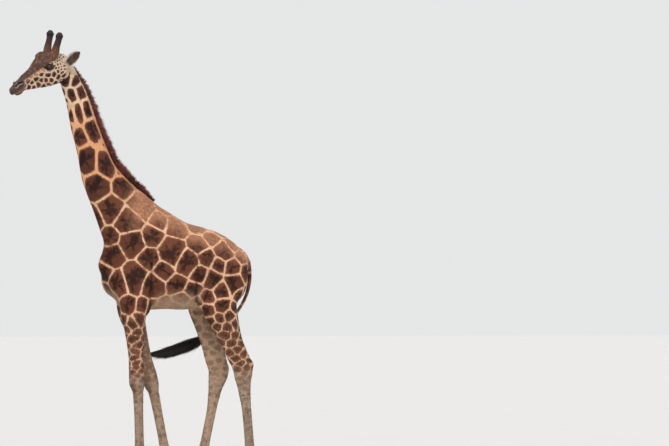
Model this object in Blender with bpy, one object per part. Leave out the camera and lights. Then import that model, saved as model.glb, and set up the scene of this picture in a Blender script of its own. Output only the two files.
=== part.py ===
"""A standing giraffe at life size, as closed solids for the named parts of its body.

The animal faces -X with its left side towards -Y, and stands on its hooves at z = 0. Each form is
swept along a spine of stations, the forms are joined and smoothed as one body, and thin cuts then
part that body where its parts are named.
"""
import math

import bmesh
import bpy
import numpy as np
from mathutils import Euler, Matrix, Vector

# Driving sizes, in metres. The stations below are measured from a plumb line that drops from the
# barrel, and FRAME_SHIFT then sets the whole animal over the middle of its own box.
FRAME_SHIFT = Vector((0.4635, -0.068, 0.0))
GAP = 0.0005
VOXEL = 0.010
SMOOTH_ROUNDS = 24
EASE_FRONT = -0.90
EASE_FLOOR = 1.82
EASE_TOP = 2.62
EASE_FADE = 0.25
EASE_SLIGHT = 0.12
BODY_FACES = 4200
RING_SIDES = 20
RINGS_PER_SPAN = 5
CAP_RINGS = 3
DOME = 0.6
CREASE_ANGLE = math.radians(50.0)
SIDE_AXIS = Vector((0.0, 1.0, 0.0))
SIDES = {"left": -1.0, "right": 1.0}

# A station is x, y, z, then the half width and the reach above and below the spine.
TRUNK = (
    (-0.792, 0.0, 2.150, 0.080, 0.100, 0.090),
    (-0.745, 0.0, 2.130, 0.145, 0.220, 0.165),
    (-0.650, 0.0, 2.120, 0.205, 0.430, 0.300),
    (-0.500, 0.0, 2.110, 0.250, 0.590, 0.400),
    (-0.300, 0.0, 2.120, 0.280, 0.670, 0.425),
    (-0.100, 0.0, 2.130, 0.310, 0.570, 0.425),
    (0.100, 0.0, 2.120, 0.325, 0.465, 0.420),
    (0.300, 0.0, 2.130, 0.315, 0.400, 0.395),
    (0.450, 0.0, 2.140, 0.285, 0.340, 0.320),
    (0.600, 0.0, 2.160, 0.235, 0.230, 0.230),
    (0.700, 0.0, 2.160, 0.175, 0.130, 0.160),
    (0.765, 0.0, 2.170, 0.080, 0.060, 0.060),
)
# On the neck, above is the nape and below is the throat.
NECK = (
    (-1.135, 0.0, 4.150, 0.066, 0.050, 0.075),
    (-1.110, 0.0, 4.050, 0.082, 0.080, 0.112),
    (-1.025, 0.0, 3.800, 0.087, 0.125, 0.125),
    (-0.958, 0.0, 3.558, 0.092, 0.145, 0.145),
    (-0.870, 0.0, 3.287, 0.102, 0.162, 0.162),
    (-0.789, 0.0, 3.044, 0.117, 0.197, 0.197),
    (-0.637, 0.0, 2.794, 0.142, 0.260, 0.260),
    (-0.525, 0.0, 2.643, 0.175, 0.310, 0.320),
    (-0.360, 0.0, 2.420, 0.220, 0.380, 0.380),
)
# The mane stands on the nape, from behind the ears to the withers.
MANE = (
    (-1.078, 0.0, 4.115, 0.016, 0.034, 0.03),
    (-1.035, 0.0, 4.025, 0.020, 0.052, 0.04),
    (-0.966, 0.0, 3.900, 0.022, 0.066, 0.04),
    (-0.895, 0.0, 3.740, 0.022, 0.070, 0.04),
    (-0.822, 0.0, 3.520, 0.022, 0.076, 0.04),
    (-0.743, 0.0, 3.345, 0.022, 0.078, 0.04),
    (-0.640, 0.0, 3.145, 0.022, 0.078, 0.04),
    (-0.500, 0.0, 3.000, 0.021, 0.074, 0.04),
    (-0.360, 0.0, 2.895, 0.019, 0.055, 0.04),
    (-0.225, 0.0, 2.790, 0.014, 0.022, 0.03),
)
TAIL = (
    (0.640, 0.000, 2.300, 0.050, 0.050, 0.050),
    (0.735, 0.010, 2.245, 0.037, 0.037, 0.037),
    (0.802, 0.055, 2.090, 0.025, 0.025, 0.025),
    (0.815, 0.170, 1.870, 0.019, 0.019, 0.019),
    (0.735, 0.300, 1.660, 0.017, 0.017, 0.017),
    (0.590, 0.375, 1.510, 0.016, 0.016, 0.016),
    (0.430, 0.400, 1.415, 0.016, 0.016, 0.016),
)
TAIL_TUFT = (
    (0.480, 0.395, 1.445, 0.018, 0.018, 0.018),
    (0.380, 0.403, 1.390, 0.040, 0.044, 0.046),
    (0.270, 0.412, 1.345, 0.046, 0.052, 0.054),
    (0.140, 0.418, 1.300, 0.042, 0.046, 0.050),
    (0.020, 0.412, 1.272, 0.030, 0.032, 0.036),
    (-0.080, 0.400, 1.262, 0.012, 0.012, 0.014),
)
TAIL_END = Vector((0.445, 0.397, 1.425))
TAIL_CUT_NORMAL = Vector((0.92, -0.10, 0.38))
MANE_POINT = Vector((-0.700, 0.0, 3.440))

# Legs: joints of each leg from the top down, and sections shared by a pair of legs. A section is
# the bone it lies on, how far down that bone, then half width and reach behind and in front.
FORELEG_JOINTS = {
    "left": ((-0.530, -0.175, 2.10), (-0.475, -0.166, 1.70), (-0.4465, -0.150, 0.985),
             (-0.420, -0.146, 0.21), (-0.446, -0.146, 0.10)),
    "right": ((-0.480, 0.175, 2.10), (-0.400, 0.166, 1.70), (-0.205, 0.150, 0.985),
              (-0.045, 0.146, 0.21), (-0.066, 0.146, 0.10)),
}
FORELEG_SECTIONS = (
    (0, 0.00, 0.110, 0.150, 0.130), (0, 0.60, 0.112, 0.150, 0.145), (1, 0.00, 0.102, 0.135, 0.155),
    (1, 0.11, 0.096, 0.116, 0.148), (1, 0.25, 0.087, 0.105, 0.125), (1, 0.50, 0.073, 0.086, 0.098),
    (1, 0.70, 0.064, 0.079, 0.087), (1, 0.90, 0.069, 0.085, 0.089), (2, 0.00, 0.069, 0.083, 0.087),
    (2, 0.06, 0.064, 0.079, 0.080), (2, 0.13, 0.052, 0.067, 0.055), (2, 0.25, 0.045, 0.062, 0.047),
    (2, 0.50, 0.041, 0.056, 0.043), (2, 0.75, 0.042, 0.055, 0.045), (2, 0.92, 0.050, 0.062, 0.055),
    (3, 0.00, 0.056, 0.068, 0.062), (3, 0.45, 0.056, 0.060, 0.060), (3, 1.00, 0.073, 0.075, 0.082),
    (3, 1.60, 0.076, 0.078, 0.086),
)
HINDLEG_JOINTS = {
    "left": ((0.420, -0.150, 2.08), (0.420, -0.165, 1.75), (0.668, -0.155, 1.10),
             (0.745, -0.145, 0.21), (0.722, -0.145, 0.10)),
    "right": ((0.400, 0.150, 2.08), (0.385, 0.165, 1.75), (0.513, 0.155, 1.06),
              (0.325, 0.145, 0.21), (0.292, 0.145, 0.10)),
}
HINDLEG_SECTIONS = (
    (0, 0.00, 0.120, 0.220, 0.220), (0, 0.60, 0.130, 0.230, 0.220), (1, 0.00, 0.120, 0.190, 0.205),
    (1, 0.20, 0.105, 0.150, 0.180), (1, 0.385, 0.088, 0.122, 0.155), (1, 0.60, 0.074, 0.105, 0.133),
    (1, 0.77, 0.062, 0.112, 0.126), (1, 0.92, 0.058, 0.116, 0.112), (2, 0.00, 0.058, 0.106, 0.112),
    (2, 0.06, 0.057, 0.096, 0.110), (2, 0.16, 0.052, 0.072, 0.088), (2, 0.30, 0.046, 0.058, 0.066),
    (2, 0.42, 0.041, 0.054, 0.052), (2, 0.75, 0.041, 0.054, 0.047), (2, 0.92, 0.048, 0.060, 0.055),
    (3, 0.00, 0.054, 0.066, 0.062), (3, 0.45, 0.054, 0.060, 0.060), (3, 1.00, 0.073, 0.075, 0.082),
    (3, 1.60, 0.076, 0.078, 0.086),
)
FOOT_LENGTH = 0.225
FOOT_WIDTH = 0.172
CORONET_LENGTH = 0.158
CORONET_WIDTH = 0.150
HOOF_HEIGHT = 0.105
HOOF_HEEL_HEIGHT = 0.060
CLAW_CLEFT = 0.006
CLAW_SIDES = 12
CLAW_TOE_TAPER = 0.42
HOOF_LEVELS = (0.0, 0.12, 1.0)
SOLE_FORWARD = -0.034
CORONET_FORWARD = -0.006
KNEE_CUT_BELOW = 0.10
FETLOCK_CUT_ABOVE = 0.06

# Head: x is along the face from the poll, forwards is -x, and z is the height above the floor.
POLL = Vector((-1.104, 0.0, 0.0))
HEAD_PIVOT_HEIGHT = 4.10
HEAD_YAW = math.radians(12.0)
HEAD_ROLL = math.radians(8.0)
SKULL = (
    (-0.652, 0.0, 3.880, 0.038, 0.036, 0.030),
    (-0.625, 0.0, 3.890, 0.050, 0.056, 0.044),
    (-0.590, 0.0, 3.912, 0.055, 0.070, 0.052),
    (-0.545, 0.0, 3.952, 0.052, 0.088, 0.062),
    (-0.500, 0.0, 3.985, 0.053, 0.102, 0.075),
    (-0.457, 0.0, 4.015, 0.058, 0.123, 0.085),
    (-0.420, 0.0, 4.045, 0.066, 0.148, 0.095),
    (-0.380, 0.0, 4.070, 0.080, 0.163, 0.105),
    (-0.320, 0.0, 4.090, 0.096, 0.172, 0.115),
    (-0.250, 0.0, 4.100, 0.103, 0.168, 0.125),
    (-0.170, 0.0, 4.100, 0.100, 0.163, 0.130),
    (-0.090, 0.0, 4.090, 0.090, 0.163, 0.130),
    (-0.025, 0.0, 4.080, 0.074, 0.150, 0.110),
)
MANDIBLE = (
    (-0.612, 0.0, 3.848, 0.026, 0.018, 0.018),
    (-0.585, 0.0, 3.852, 0.036, 0.026, 0.028),
    (-0.545, 0.0, 3.866, 0.037, 0.030, 0.031),
    (-0.500, 0.0, 3.902, 0.034, 0.030, 0.030),
    (-0.440, 0.0, 3.925, 0.037, 0.040, 0.041),
    (-0.395, 0.0, 3.940, 0.042, 0.050, 0.050),
    (-0.320, 0.0, 3.962, 0.050, 0.060, 0.060),
    (-0.245, 0.0, 3.985, 0.058, 0.070, 0.073),
    (-0.170, 0.0, 4.010, 0.062, 0.080, 0.076),
    (-0.100, 0.0, 4.030, 0.058, 0.080, 0.075),
)
OSSICONE = (
    (-0.194, 0.096, 4.463, 0.025, 0.024, 0.024),
    (-0.196, 0.095, 4.443, 0.035, 0.034, 0.034),
    (-0.200, 0.092, 4.404, 0.031, 0.030, 0.030),
    (-0.211, 0.086, 4.350, 0.032, 0.032, 0.032),
    (-0.222, 0.078, 4.285, 0.038, 0.040, 0.045),
    (-0.228, 0.065, 4.210, 0.045, 0.050, 0.060),
)
OSSICONE_CUT_HEIGHT = 4.308
EAR = (
    (-0.096, 0.058, 4.115, 0.020, 0.022, 0.022),
    (-0.086, 0.084, 4.148, 0.028, 0.020, 0.020),
    (-0.072, 0.114, 4.184, 0.042, 0.012, 0.016),
    (-0.056, 0.146, 4.222, 0.049, 0.010, 0.013),
    (-0.038, 0.176, 4.258, 0.043, 0.009, 0.011),
    (-0.021, 0.202, 4.287, 0.024, 0.007, 0.009),
    (-0.015, 0.211, 4.297, 0.009, 0.005, 0.006),
)
EAR_ACROSS = Vector((0.48, -0.48, -0.68))
EAR_CUP = -0.40
EYE_CENTRE = Vector((-0.284, 0.090, 4.128))
EYE_RADIUS = 0.025
EYE_SEGMENTS = 12
SOCKET_CLEARANCE = 0.0004
BUMPS = {
    "median_horn": ((-0.340, 0.0, 4.232), (0.075, 0.044, 0.056), 20.0),
    "brow": ((-0.285, 0.080, 4.160), (0.060, 0.026, 0.026), 8.0),
    "cheek": ((-0.215, 0.060, 4.010), (0.085, 0.036, 0.070), -14.0),
    "cheek_bone": ((-0.330, 0.074, 4.075), (0.080, 0.020, 0.022), -18.0),
    "upper_lip": ((-0.634, 0.0, 3.864), (0.034, 0.040, 0.034), 0.0),
    "nostril_rim": ((-0.594, 0.034, 3.942), (0.034, 0.020, 0.026), 35.0),
}
# Muscles that stand proud of the swept forms: centre, radii and pitch, mirrored to both sides.
MUSCLES = {
    "shoulder_blade": ((-0.430, 0.140, 2.240), (0.170, 0.120, 0.400), -16.0),
    "point_of_shoulder": ((-0.600, 0.125, 2.060), (0.150, 0.100, 0.230), 12.0),
    "haunch": ((0.500, 0.135, 2.080), (0.220, 0.140, 0.320), -14.0),
    "hip": ((0.380, 0.140, 2.310), (0.150, 0.110, 0.140), 0.0),
    "throat": ((-1.128, 0.000, 3.930), (0.066, 0.056, 0.080), -20.0),
}
HOCK_POINT_RADII = (0.040, 0.034, 0.060)
HOCK_POINT_OFFSET = Vector((0.078, 0.0, 0.050))
ELBOW_RADII = (0.060, 0.050, 0.080)
ELBOW_OFFSET = Vector((0.110, 0.0, 0.020))

# Where the body is parted: a point on each cut and the direction towards the head.
HEAD_CUT = (Vector((-1.135, 0.0, 4.01)), Vector((-0.93, -0.12, 0.36)))
NECK_CUT = (Vector((-0.450, 0.0, 2.50)), Vector((-0.60, 0.0, 0.80)))
JAW_CUT = (Vector((-0.664, 0.0, 3.847)), Vector((-0.366, 0.0, 0.930)))
FORELEG_BLOCK = ((-0.640, 1.760), (-0.600, 1.940), (-0.500, 2.030), (-0.380, 2.000), (-0.280, 1.860),
                 (-0.255, 1.740))
HINDLEG_BLOCK = ((0.150, 1.800), (0.190, 1.960), (0.320, 2.110), (0.500, 2.170), (0.650, 2.130),
                 (0.760, 2.000))
BLOCK_INNER = {"fore": 0.060, "hind": 0.045}
BLOCK_OUTER = 0.80
BLOCK_BELOW = 0.30
BLOCK_WAIST = 1.60
LEG_REACH = {"fore": (-0.720, 0.110), "hind": (0.115, 0.980)}

COLOURS = {
    "coat": ((0.42, 0.27, 0.17), 0.75),
    "mane": ((0.16, 0.07, 0.035), 0.80),
    "tuft": ((0.02, 0.016, 0.014), 0.70),
    "horn": ((0.07, 0.05, 0.04), 0.65),
    "hoof": ((0.10, 0.085, 0.07), 0.50),
    "eye": ((0.015, 0.010, 0.008), 0.12),
}


# ---- Small helpers -------------------------------------------------------------------------

def clear_scene():
    """Remove the objects that a new file starts with."""
    for item in list(bpy.data.objects):
        bpy.data.objects.remove(item, do_unlink=True)


def material(finish):
    """The material of one finish, made the first time it is asked for."""
    name = "giraffe_" + finish
    if name in bpy.data.materials:
        return bpy.data.materials[name]
    colour, roughness = COLOURS[finish]
    made = bpy.data.materials.new(name)
    made.use_nodes = True
    shader = made.node_tree.nodes["Principled BSDF"]
    shader.inputs["Base Color"].default_value = (*colour, 1.0)
    shader.inputs["Roughness"].default_value = roughness
    shader.inputs["Metallic"].default_value = 0.0
    return made


def mesh_of(bm, name):
    """A mesh made from bm, which is freed."""
    bmesh.ops.recalc_face_normals(bm, faces=bm.faces)
    mesh = bpy.data.meshes.new(name)
    bm.to_mesh(mesh)
    bm.free()
    return mesh


def bm_of(mesh):
    """An editable copy of a mesh."""
    bm = bmesh.new()
    bm.from_mesh(mesh)
    return bm


def add_node(name, mesh, finish):
    """Put a finished solid in the scene under its part's name."""
    node = bpy.data.objects.new(name, mesh)
    mesh.materials.clear()
    mesh.materials.append(material(finish))
    mesh.shade_smooth()
    mesh.set_sharp_from_angle(angle=CREASE_ANGLE)
    bpy.context.collection.objects.link(node)
    return node


def evaluated(mesh, dress):
    """The mesh after the modifiers that dress(object) adds to it."""
    holder = bpy.data.objects.new("work", mesh)
    bpy.context.collection.objects.link(holder)
    extra = dress(holder) or []
    graph = bpy.context.evaluated_depsgraph_get()
    result = bpy.data.meshes.new_from_object(holder.evaluated_get(graph))
    for item in [holder, *extra]:
        bpy.data.objects.remove(item, do_unlink=True)
    return result


# ---- Swept forms ---------------------------------------------------------------------------

def smooth_rows(stations, per_span):
    """Rows read from a smooth curve through the stations, spaced by distance."""
    rows = np.array(stations, dtype=float)
    steps = np.linalg.norm(np.diff(rows[:, :3], axis=0), axis=1)
    knots = np.concatenate([[0.0], np.cumsum(np.sqrt(steps))])
    slopes = np.diff(rows, axis=0) / np.diff(knots)[:, None]
    spans = np.diff(knots)[:, None]
    tangents = np.empty_like(rows)
    tangents[0], tangents[-1] = slopes[0], slopes[-1]
    tangents[1:-1] = (slopes[:-1] * spans[1:] + slopes[1:] * spans[:-1]) / (spans[1:] + spans[:-1])
    turning = slopes[:-1, 3:] * slopes[1:, 3:] <= 0.0
    limit = 3.0 * np.minimum(np.abs(slopes[:-1, 3:]), np.abs(slopes[1:, 3:]))
    eased = np.sign(tangents[1:-1, 3:]) * np.minimum(np.abs(tangents[1:-1, 3:]), limit)
    tangents[1:-1, 3:] = np.where(turning, 0.0, eased)
    out = []
    for index, span in enumerate(spans[:, 0]):
        for t in np.linspace(0.0, 1.0, per_span, endpoint=False):
            start, end = rows[index], rows[index + 1]
            blend = 3.0 * t ** 2 - 2.0 * t ** 3
            lean = (t ** 3 - 2.0 * t ** 2 + t) * span * tangents[index]
            pull = (t ** 3 - t ** 2) * span * tangents[index + 1]
            out.append(start * (1.0 - blend) + end * blend + lean + pull)
    out.append(rows[-1])
    return np.array(out)


def sweep(stations, across=SIDE_AXIS, cup=0.0, plumb=False, sides=RING_SIDES, per_span=RINGS_PER_SPAN):
    """A closed body swept through the stations, with rounded ends.

    Its sections stand square to the spine, or upright across the body where plumb is set.
    """
    rows = smooth_rows(stations, per_span)
    spine = rows[:, :3]
    tangents = np.gradient(spine, axis=0)
    tangents /= np.linalg.norm(tangents, axis=1)[:, None]
    if plumb:
        tangents = np.tile((1.0, 0.0, 0.0), (len(rows), 1))
    rings = []
    last = len(rows) - 1
    order = [(0, k / CAP_RINGS, -1.0) for k in range(1, CAP_RINGS)]
    order += [(i, 1.0, 0.0) for i in range(len(rows))]
    order += [(last, k / CAP_RINGS, 1.0) for k in range(CAP_RINGS - 1, 0, -1)]
    bm = bmesh.new()
    poles = []
    for index, scale, end in order:
        tangent = Vector(tangents[index])
        up = tangent.cross(Vector(across)).normalized()
        side = up.cross(tangent).normalized()
        half, above, below = rows[index, 3:]
        dome = DOME * min(half, above, below)
        angle = math.pi / 2.0 * (1.0 - scale)
        grow = math.cos(angle) if end else 1.0
        centre = Vector(spine[index]) + tangent * (end * dome * math.sin(angle))
        ring = []
        for k in range(sides):
            turn = 2.0 * math.pi * k / sides
            y, z = math.cos(turn), math.sin(turn)
            reach = above if z > 0.0 else below
            curl = cup * half * y * y
            point = centre + side * (half * y * grow) + up * ((reach * z + curl) * grow)
            ring.append(bm.verts.new(point))
        rings.append(ring)
        if index in (0, last) and end and scale == 1.0 / CAP_RINGS:
            poles.append(bm.verts.new(Vector(spine[index]) + tangent * (end * dome)))
    for first, second in zip(rings, rings[1:]):
        for k in range(sides):
            n = (k + 1) % sides
            bm.faces.new((first[k], first[n], second[n], second[k]))
    for k in range(sides):
        n = (k + 1) % sides
        bm.faces.new((rings[0][n], rings[0][k], poles[0]))
        bm.faces.new((rings[-1][k], rings[-1][n], poles[1]))
    bmesh.ops.recalc_face_normals(bm, faces=bm.faces)
    return bm


def lobe(centre, radii, pitch=0.0):
    """An ellipsoid, pitched about the side axis by so many degrees."""
    bm = bmesh.new()
    bmesh.ops.create_icosphere(bm, subdivisions=3, radius=1.0)
    place = Matrix.Translation(Vector(centre)) @ Euler((0.0, math.radians(pitch), 0.0)).to_matrix().to_4x4()
    bmesh.ops.transform(bm, matrix=place @ Matrix.Diagonal((*radii, 1.0)), verts=bm.verts)
    return bm


def mirrored(point, sign):
    """The same place on the side that sign points to."""
    return Vector((point[0], abs(point[1]) * sign, point[2]))


def joined(forms, name):
    """One mesh that holds every form, still as separate shells."""
    whole = bmesh.new()
    for form in forms:
        piece = mesh_of(form, name)
        whole.from_mesh(piece)
        bpy.data.meshes.remove(piece)
    return mesh_of(whole, name)


def head_matrix():
    """From the head's own straight frame to its turned place on the neck."""
    pivot = Vector((POLL.x, 0.0, HEAD_PIVOT_HEIGHT))
    turn = Euler((HEAD_ROLL, 0.0, HEAD_YAW), "XYZ").to_matrix().to_4x4()
    return Matrix.Translation(pivot) @ turn @ Matrix.Translation(Vector((0.0, 0.0, -HEAD_PIVOT_HEIGHT)))


def in_head(bm):
    """Move a form from the head's frame to its place."""
    bmesh.ops.transform(bm, matrix=head_matrix(), verts=bm.verts)
    return bm


def leg_stations(joints, sections):
    """Stations down one leg, from its joints and the sections of its pair."""
    points = [Vector(joint) for joint in joints]
    rows = []
    for bone, along, half, behind, front in sections:
        place = points[bone].lerp(points[bone + 1], along)
        rows.append((*place, half, behind, front))
    return rows


# ---- Cuts ----------------------------------------------------------------------------------

def cut(mesh, point, normal, name):
    """The piece of a mesh behind a plane, half a gap short of it and closed with a flat face."""
    bm = bm_of(mesh)
    unit = Vector(normal).normalized()
    place = Vector(point) - unit * (GAP / 2.0)
    geometry = bm.verts[:] + bm.edges[:] + bm.faces[:]
    bmesh.ops.bisect_plane(bm, geom=geometry, dist=1e-6, plane_co=place, plane_no=unit, clear_outer=True)
    rim = [edge for edge in bm.edges if edge.is_boundary]
    filled = bmesh.ops.holes_fill(bm, edges=rim, sides=0)["faces"]
    bmesh.ops.triangulate(bm, faces=filled)
    return mesh_of(bm, name)


def parted(mesh, point, normal, front_name, back_name):
    """Both pieces of a mesh, either side of a thin plane cut: in front of it, then behind it."""
    return cut(mesh, point, -Vector(normal), front_name), cut(mesh, point, normal, back_name)


def island(mesh, point, name):
    """Only the shell of a mesh that lies nearest to a point."""
    bm = bm_of(mesh)
    near = min(bm.verts, key=lambda vert: (vert.co - Vector(point)).length_squared)
    found = {near}
    edge_of = [near]
    while edge_of:
        vert = edge_of.pop()
        for edge in vert.link_edges:
            other = edge.other_vert(vert)
            if other not in found:
                found.add(other)
                edge_of.append(other)
    bmesh.ops.delete(bm, geom=[vert for vert in bm.verts if vert not in found], context="VERTS")
    return mesh_of(bm, name)


def boolean(mesh, cutter, operation, name):
    """A mesh joined with, cut by or kept inside a cutter mesh."""
    def dress(holder):
        tool = bpy.data.objects.new("cutter", cutter)
        tool.hide_render = True
        tool.display_type = "WIRE"
        bpy.context.collection.objects.link(tool)
        step = holder.modifiers.new("cut", "BOOLEAN")
        step.operation = operation
        step.solver = "EXACT"
        step.object = tool
        return [tool]
    result = evaluated(mesh, dress)
    result.name = name
    bm = bm_of(result)
    bmesh.ops.triangulate(bm, faces=bm.faces)
    return mesh_of(bm, name)


def swollen(mesh, distance):
    """A copy of a mesh with its surface moved out by a distance."""
    bm = bm_of(mesh)
    bm.normal_update()
    moves = [(vert, vert.normal * distance) for vert in bm.verts]
    for vert, move in moves:
        vert.co += move
    return mesh_of(bm, "clearance")


def leg_block(outline, reach, sign, inner, shrink):
    """A prism that holds one leg: an arch through the flesh, wider below it, down past the floor."""
    middle = sum(x for x, _ in outline) / len(outline)
    points = []
    for x, z in outline:
        points.append((x - math.copysign(shrink, x - middle), z - shrink))
    front, back = reach
    points = [(front, -BLOCK_BELOW), (front, BLOCK_WAIST), *points, (back, BLOCK_WAIST), (back, -BLOCK_BELOW)]
    near, far = sign * (inner + shrink), sign * BLOCK_OUTER
    bm = bmesh.new()
    face = bm.faces.new([bm.verts.new((x, near, z)) for x, z in points])
    grown = bmesh.ops.extrude_face_region(bm, geom=[face])["geom"]
    moved = [item for item in grown if isinstance(item, bmesh.types.BMVert)]
    bmesh.ops.translate(bm, verts=moved, vec=(0.0, far - near, 0.0))
    bmesh.ops.triangulate(bm, faces=bm.faces)
    return mesh_of(bm, "block")


# ---- The body ------------------------------------------------------------------------------

def body_forms():
    """Every swept form and muscle of the flesh, in its place."""
    forms = [sweep(TRUNK, plumb=True), sweep(NECK)]
    for place, radii, pitch in MUSCLES.values():
        signs = SIDES.values() if place[1] else (1.0,)
        forms += [lobe(mirrored(place, sign), radii, pitch) for sign in signs]
    for side in SIDES:
        fore = FORELEG_JOINTS[side]
        hind = HINDLEG_JOINTS[side]
        forms.append(sweep(leg_stations(fore, FORELEG_SECTIONS)))
        forms.append(sweep(leg_stations(hind, HINDLEG_SECTIONS)))
        forms.append(lobe(Vector(fore[1]) + ELBOW_OFFSET, ELBOW_RADII, 0.0))
        forms.append(lobe(Vector(hind[2]) + HOCK_POINT_OFFSET, HOCK_POINT_RADII, 0.0))
    forms += [in_head(sweep(SKULL, plumb=True)), in_head(sweep(MANDIBLE, plumb=True))]
    for place, radii, pitch in BUMPS.values():
        signs = SIDES.values() if place[1] else (1.0,)
        forms += [in_head(lobe(mirrored(place, sign), radii, pitch)) for sign in signs]
    for sign in SIDES.values():
        rows = [(x, y * sign, *rest) for x, y, *rest in OSSICONE]
        forms.append(in_head(sweep(rows)))
    return forms


def ease_weights(holder):
    """Vertex weights of the smoothing: full on the trunk's muscles, slight on head and feet."""
    group = holder.vertex_groups.new(name="ease")
    for vert in holder.data.vertices:
        x, _, z = vert.co
        weight = EASE_SLIGHT
        if x > EASE_FRONT and EASE_FLOOR < z < EASE_TOP:
            weight = 1.0
        elif x > EASE_FRONT and EASE_FLOOR - EASE_FADE < z < EASE_TOP + EASE_FADE:
            reach = max(EASE_FLOOR - z, z - EASE_TOP) / EASE_FADE
            weight = 1.0 - (1.0 - EASE_SLIGHT) * reach
        group.add([vert.index], weight, "REPLACE")
    return group.name


def whole_body():
    """The flesh as one smooth closed mesh with few faces."""
    def melt(holder):
        step = holder.modifiers.new("melt", "REMESH")
        step.mode = "VOXEL"
        step.voxel_size = VOXEL

    def ease(holder):
        step = holder.modifiers.new("ease", "SMOOTH")
        step.factor = 0.5
        step.iterations = SMOOTH_ROUNDS
        step.vertex_group = ease_weights(holder)
    fine = evaluated(evaluated(joined(body_forms(), "flesh"), melt), ease)
    triangles = 2 * len(fine.polygons)

    def thin(holder):
        step = holder.modifiers.new("thin", "DECIMATE")
        step.ratio = BODY_FACES / triangles
        step.use_collapse_triangulate = True
    return evaluated(fine, thin)


def part_legs(torso, pieces):
    """Cut the four legs from the torso and each leg at its knee or hock and its fetlock."""
    pairs = (("fore", FORELEG_BLOCK, FORELEG_JOINTS), ("hind", HINDLEG_BLOCK, HINDLEG_JOINTS))
    for pair, outline, joints in pairs:
        inner, reach = BLOCK_INNER[pair], LEG_REACH[pair]
        for side, sign in SIDES.items():
            name = f"{pair}leg_{side}"
            _, _, knee, fetlock, coronet = (Vector(joint) for joint in joints[side])
            leg = boolean(torso, leg_block(outline, reach, sign, inner, GAP / 2.0), "INTERSECT", name)
            torso = boolean(torso, leg_block(outline, reach, sign, inner, -GAP / 2.0), "DIFFERENCE", "trunk")
            shin = (knee - fetlock).normalized()
            upper, lower = parted(leg, knee - shin * KNEE_CUT_BELOW, shin, f"{name}_upper", "rest")
            cannon, foot = parted(lower, fetlock + shin * FETLOCK_CUT_ABOVE, shin, f"{name}_cannon", "rest")
            pastern = cut(foot, *hoof_top(coronet), f"{name}_pastern")
            pieces[f"{name}_upper"] = (upper, "coat")
            pieces[f"{name}_cannon"] = (cannon, "coat")
            pieces[f"{name}_pastern"] = (pastern, "coat")
            for claw, place in (("outer", 1.0), ("inner", -1.0)):
                mesh = hoof_claw(coronet, sign * place)
                pieces[f"{name}_hoof_{claw}"] = (mesh, "hoof")
    return torso


def hoof_top(coronet):
    """The plane between pastern and hoof: it slopes down from toe to heel."""
    slope = (HOOF_HEIGHT - HOOF_HEEL_HEIGHT) / CORONET_LENGTH
    point = Vector((coronet.x + CORONET_FORWARD, coronet.y, (HOOF_HEIGHT + HOOF_HEEL_HEIGHT) / 2.0))
    return point, Vector((-slope, 0.0, -1.0))


def hoof_claw(coronet, outward):
    """One of the two claws of a hoof: a long half oval, its walls leaning in to the coronet."""
    bm = bmesh.new()
    top, normal = hoof_top(coronet)
    rings = []
    for level in HOOF_LEVELS:
        length = FOOT_LENGTH + (CORONET_LENGTH - FOOT_LENGTH) * level
        width = FOOT_WIDTH + (CORONET_WIDTH - FOOT_WIDTH) * level
        middle = coronet.x + SOLE_FORWARD + (CORONET_FORWARD - SOLE_FORWARD) * level
        half = (width - CLAW_CLEFT * (2.0 - level)) / 4.0
        ring = []
        for k in range(CLAW_SIDES):
            turn = 2.0 * math.pi * k / CLAW_SIDES
            forward, across = math.cos(turn), math.sin(turn)
            taper = 1.0 - CLAW_TOE_TAPER * max(forward, 0.0) ** 2
            x = middle - forward * length / 2.0
            y = coronet.y + outward * (CLAW_CLEFT * (1.0 - level / 2.0) + half * (1.0 + across) * taper)
            ceiling = top.z + (x - top.x) * normal.x - GAP
            ring.append(bm.verts.new((x, y, ceiling * level)))
        rings.append(ring)
    for first, second in zip(rings, rings[1:]):
        for k in range(CLAW_SIDES):
            n = (k + 1) % CLAW_SIDES
            bm.faces.new((first[k], first[n], second[n], second[k]))
    bm.faces.new(rings[0])
    bm.faces.new(rings[-1])
    bmesh.ops.recalc_face_normals(bm, faces=bm.faces)
    bmesh.ops.triangulate(bm, faces=bm.faces)
    return mesh_of(bm, "hoof")


def eyeball(sign, radius):
    """One eye as a ball, or its socket where the radius is larger."""
    bm = bmesh.new()
    bmesh.ops.create_uvsphere(bm, u_segments=EYE_SEGMENTS, v_segments=EYE_SEGMENTS // 2, radius=radius)
    bmesh.ops.translate(bm, verts=bm.verts, vec=mirrored(EYE_CENTRE, sign))
    in_head(bm)
    bmesh.ops.triangulate(bm, faces=bm.faces)
    return mesh_of(bm, "eye")


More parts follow.
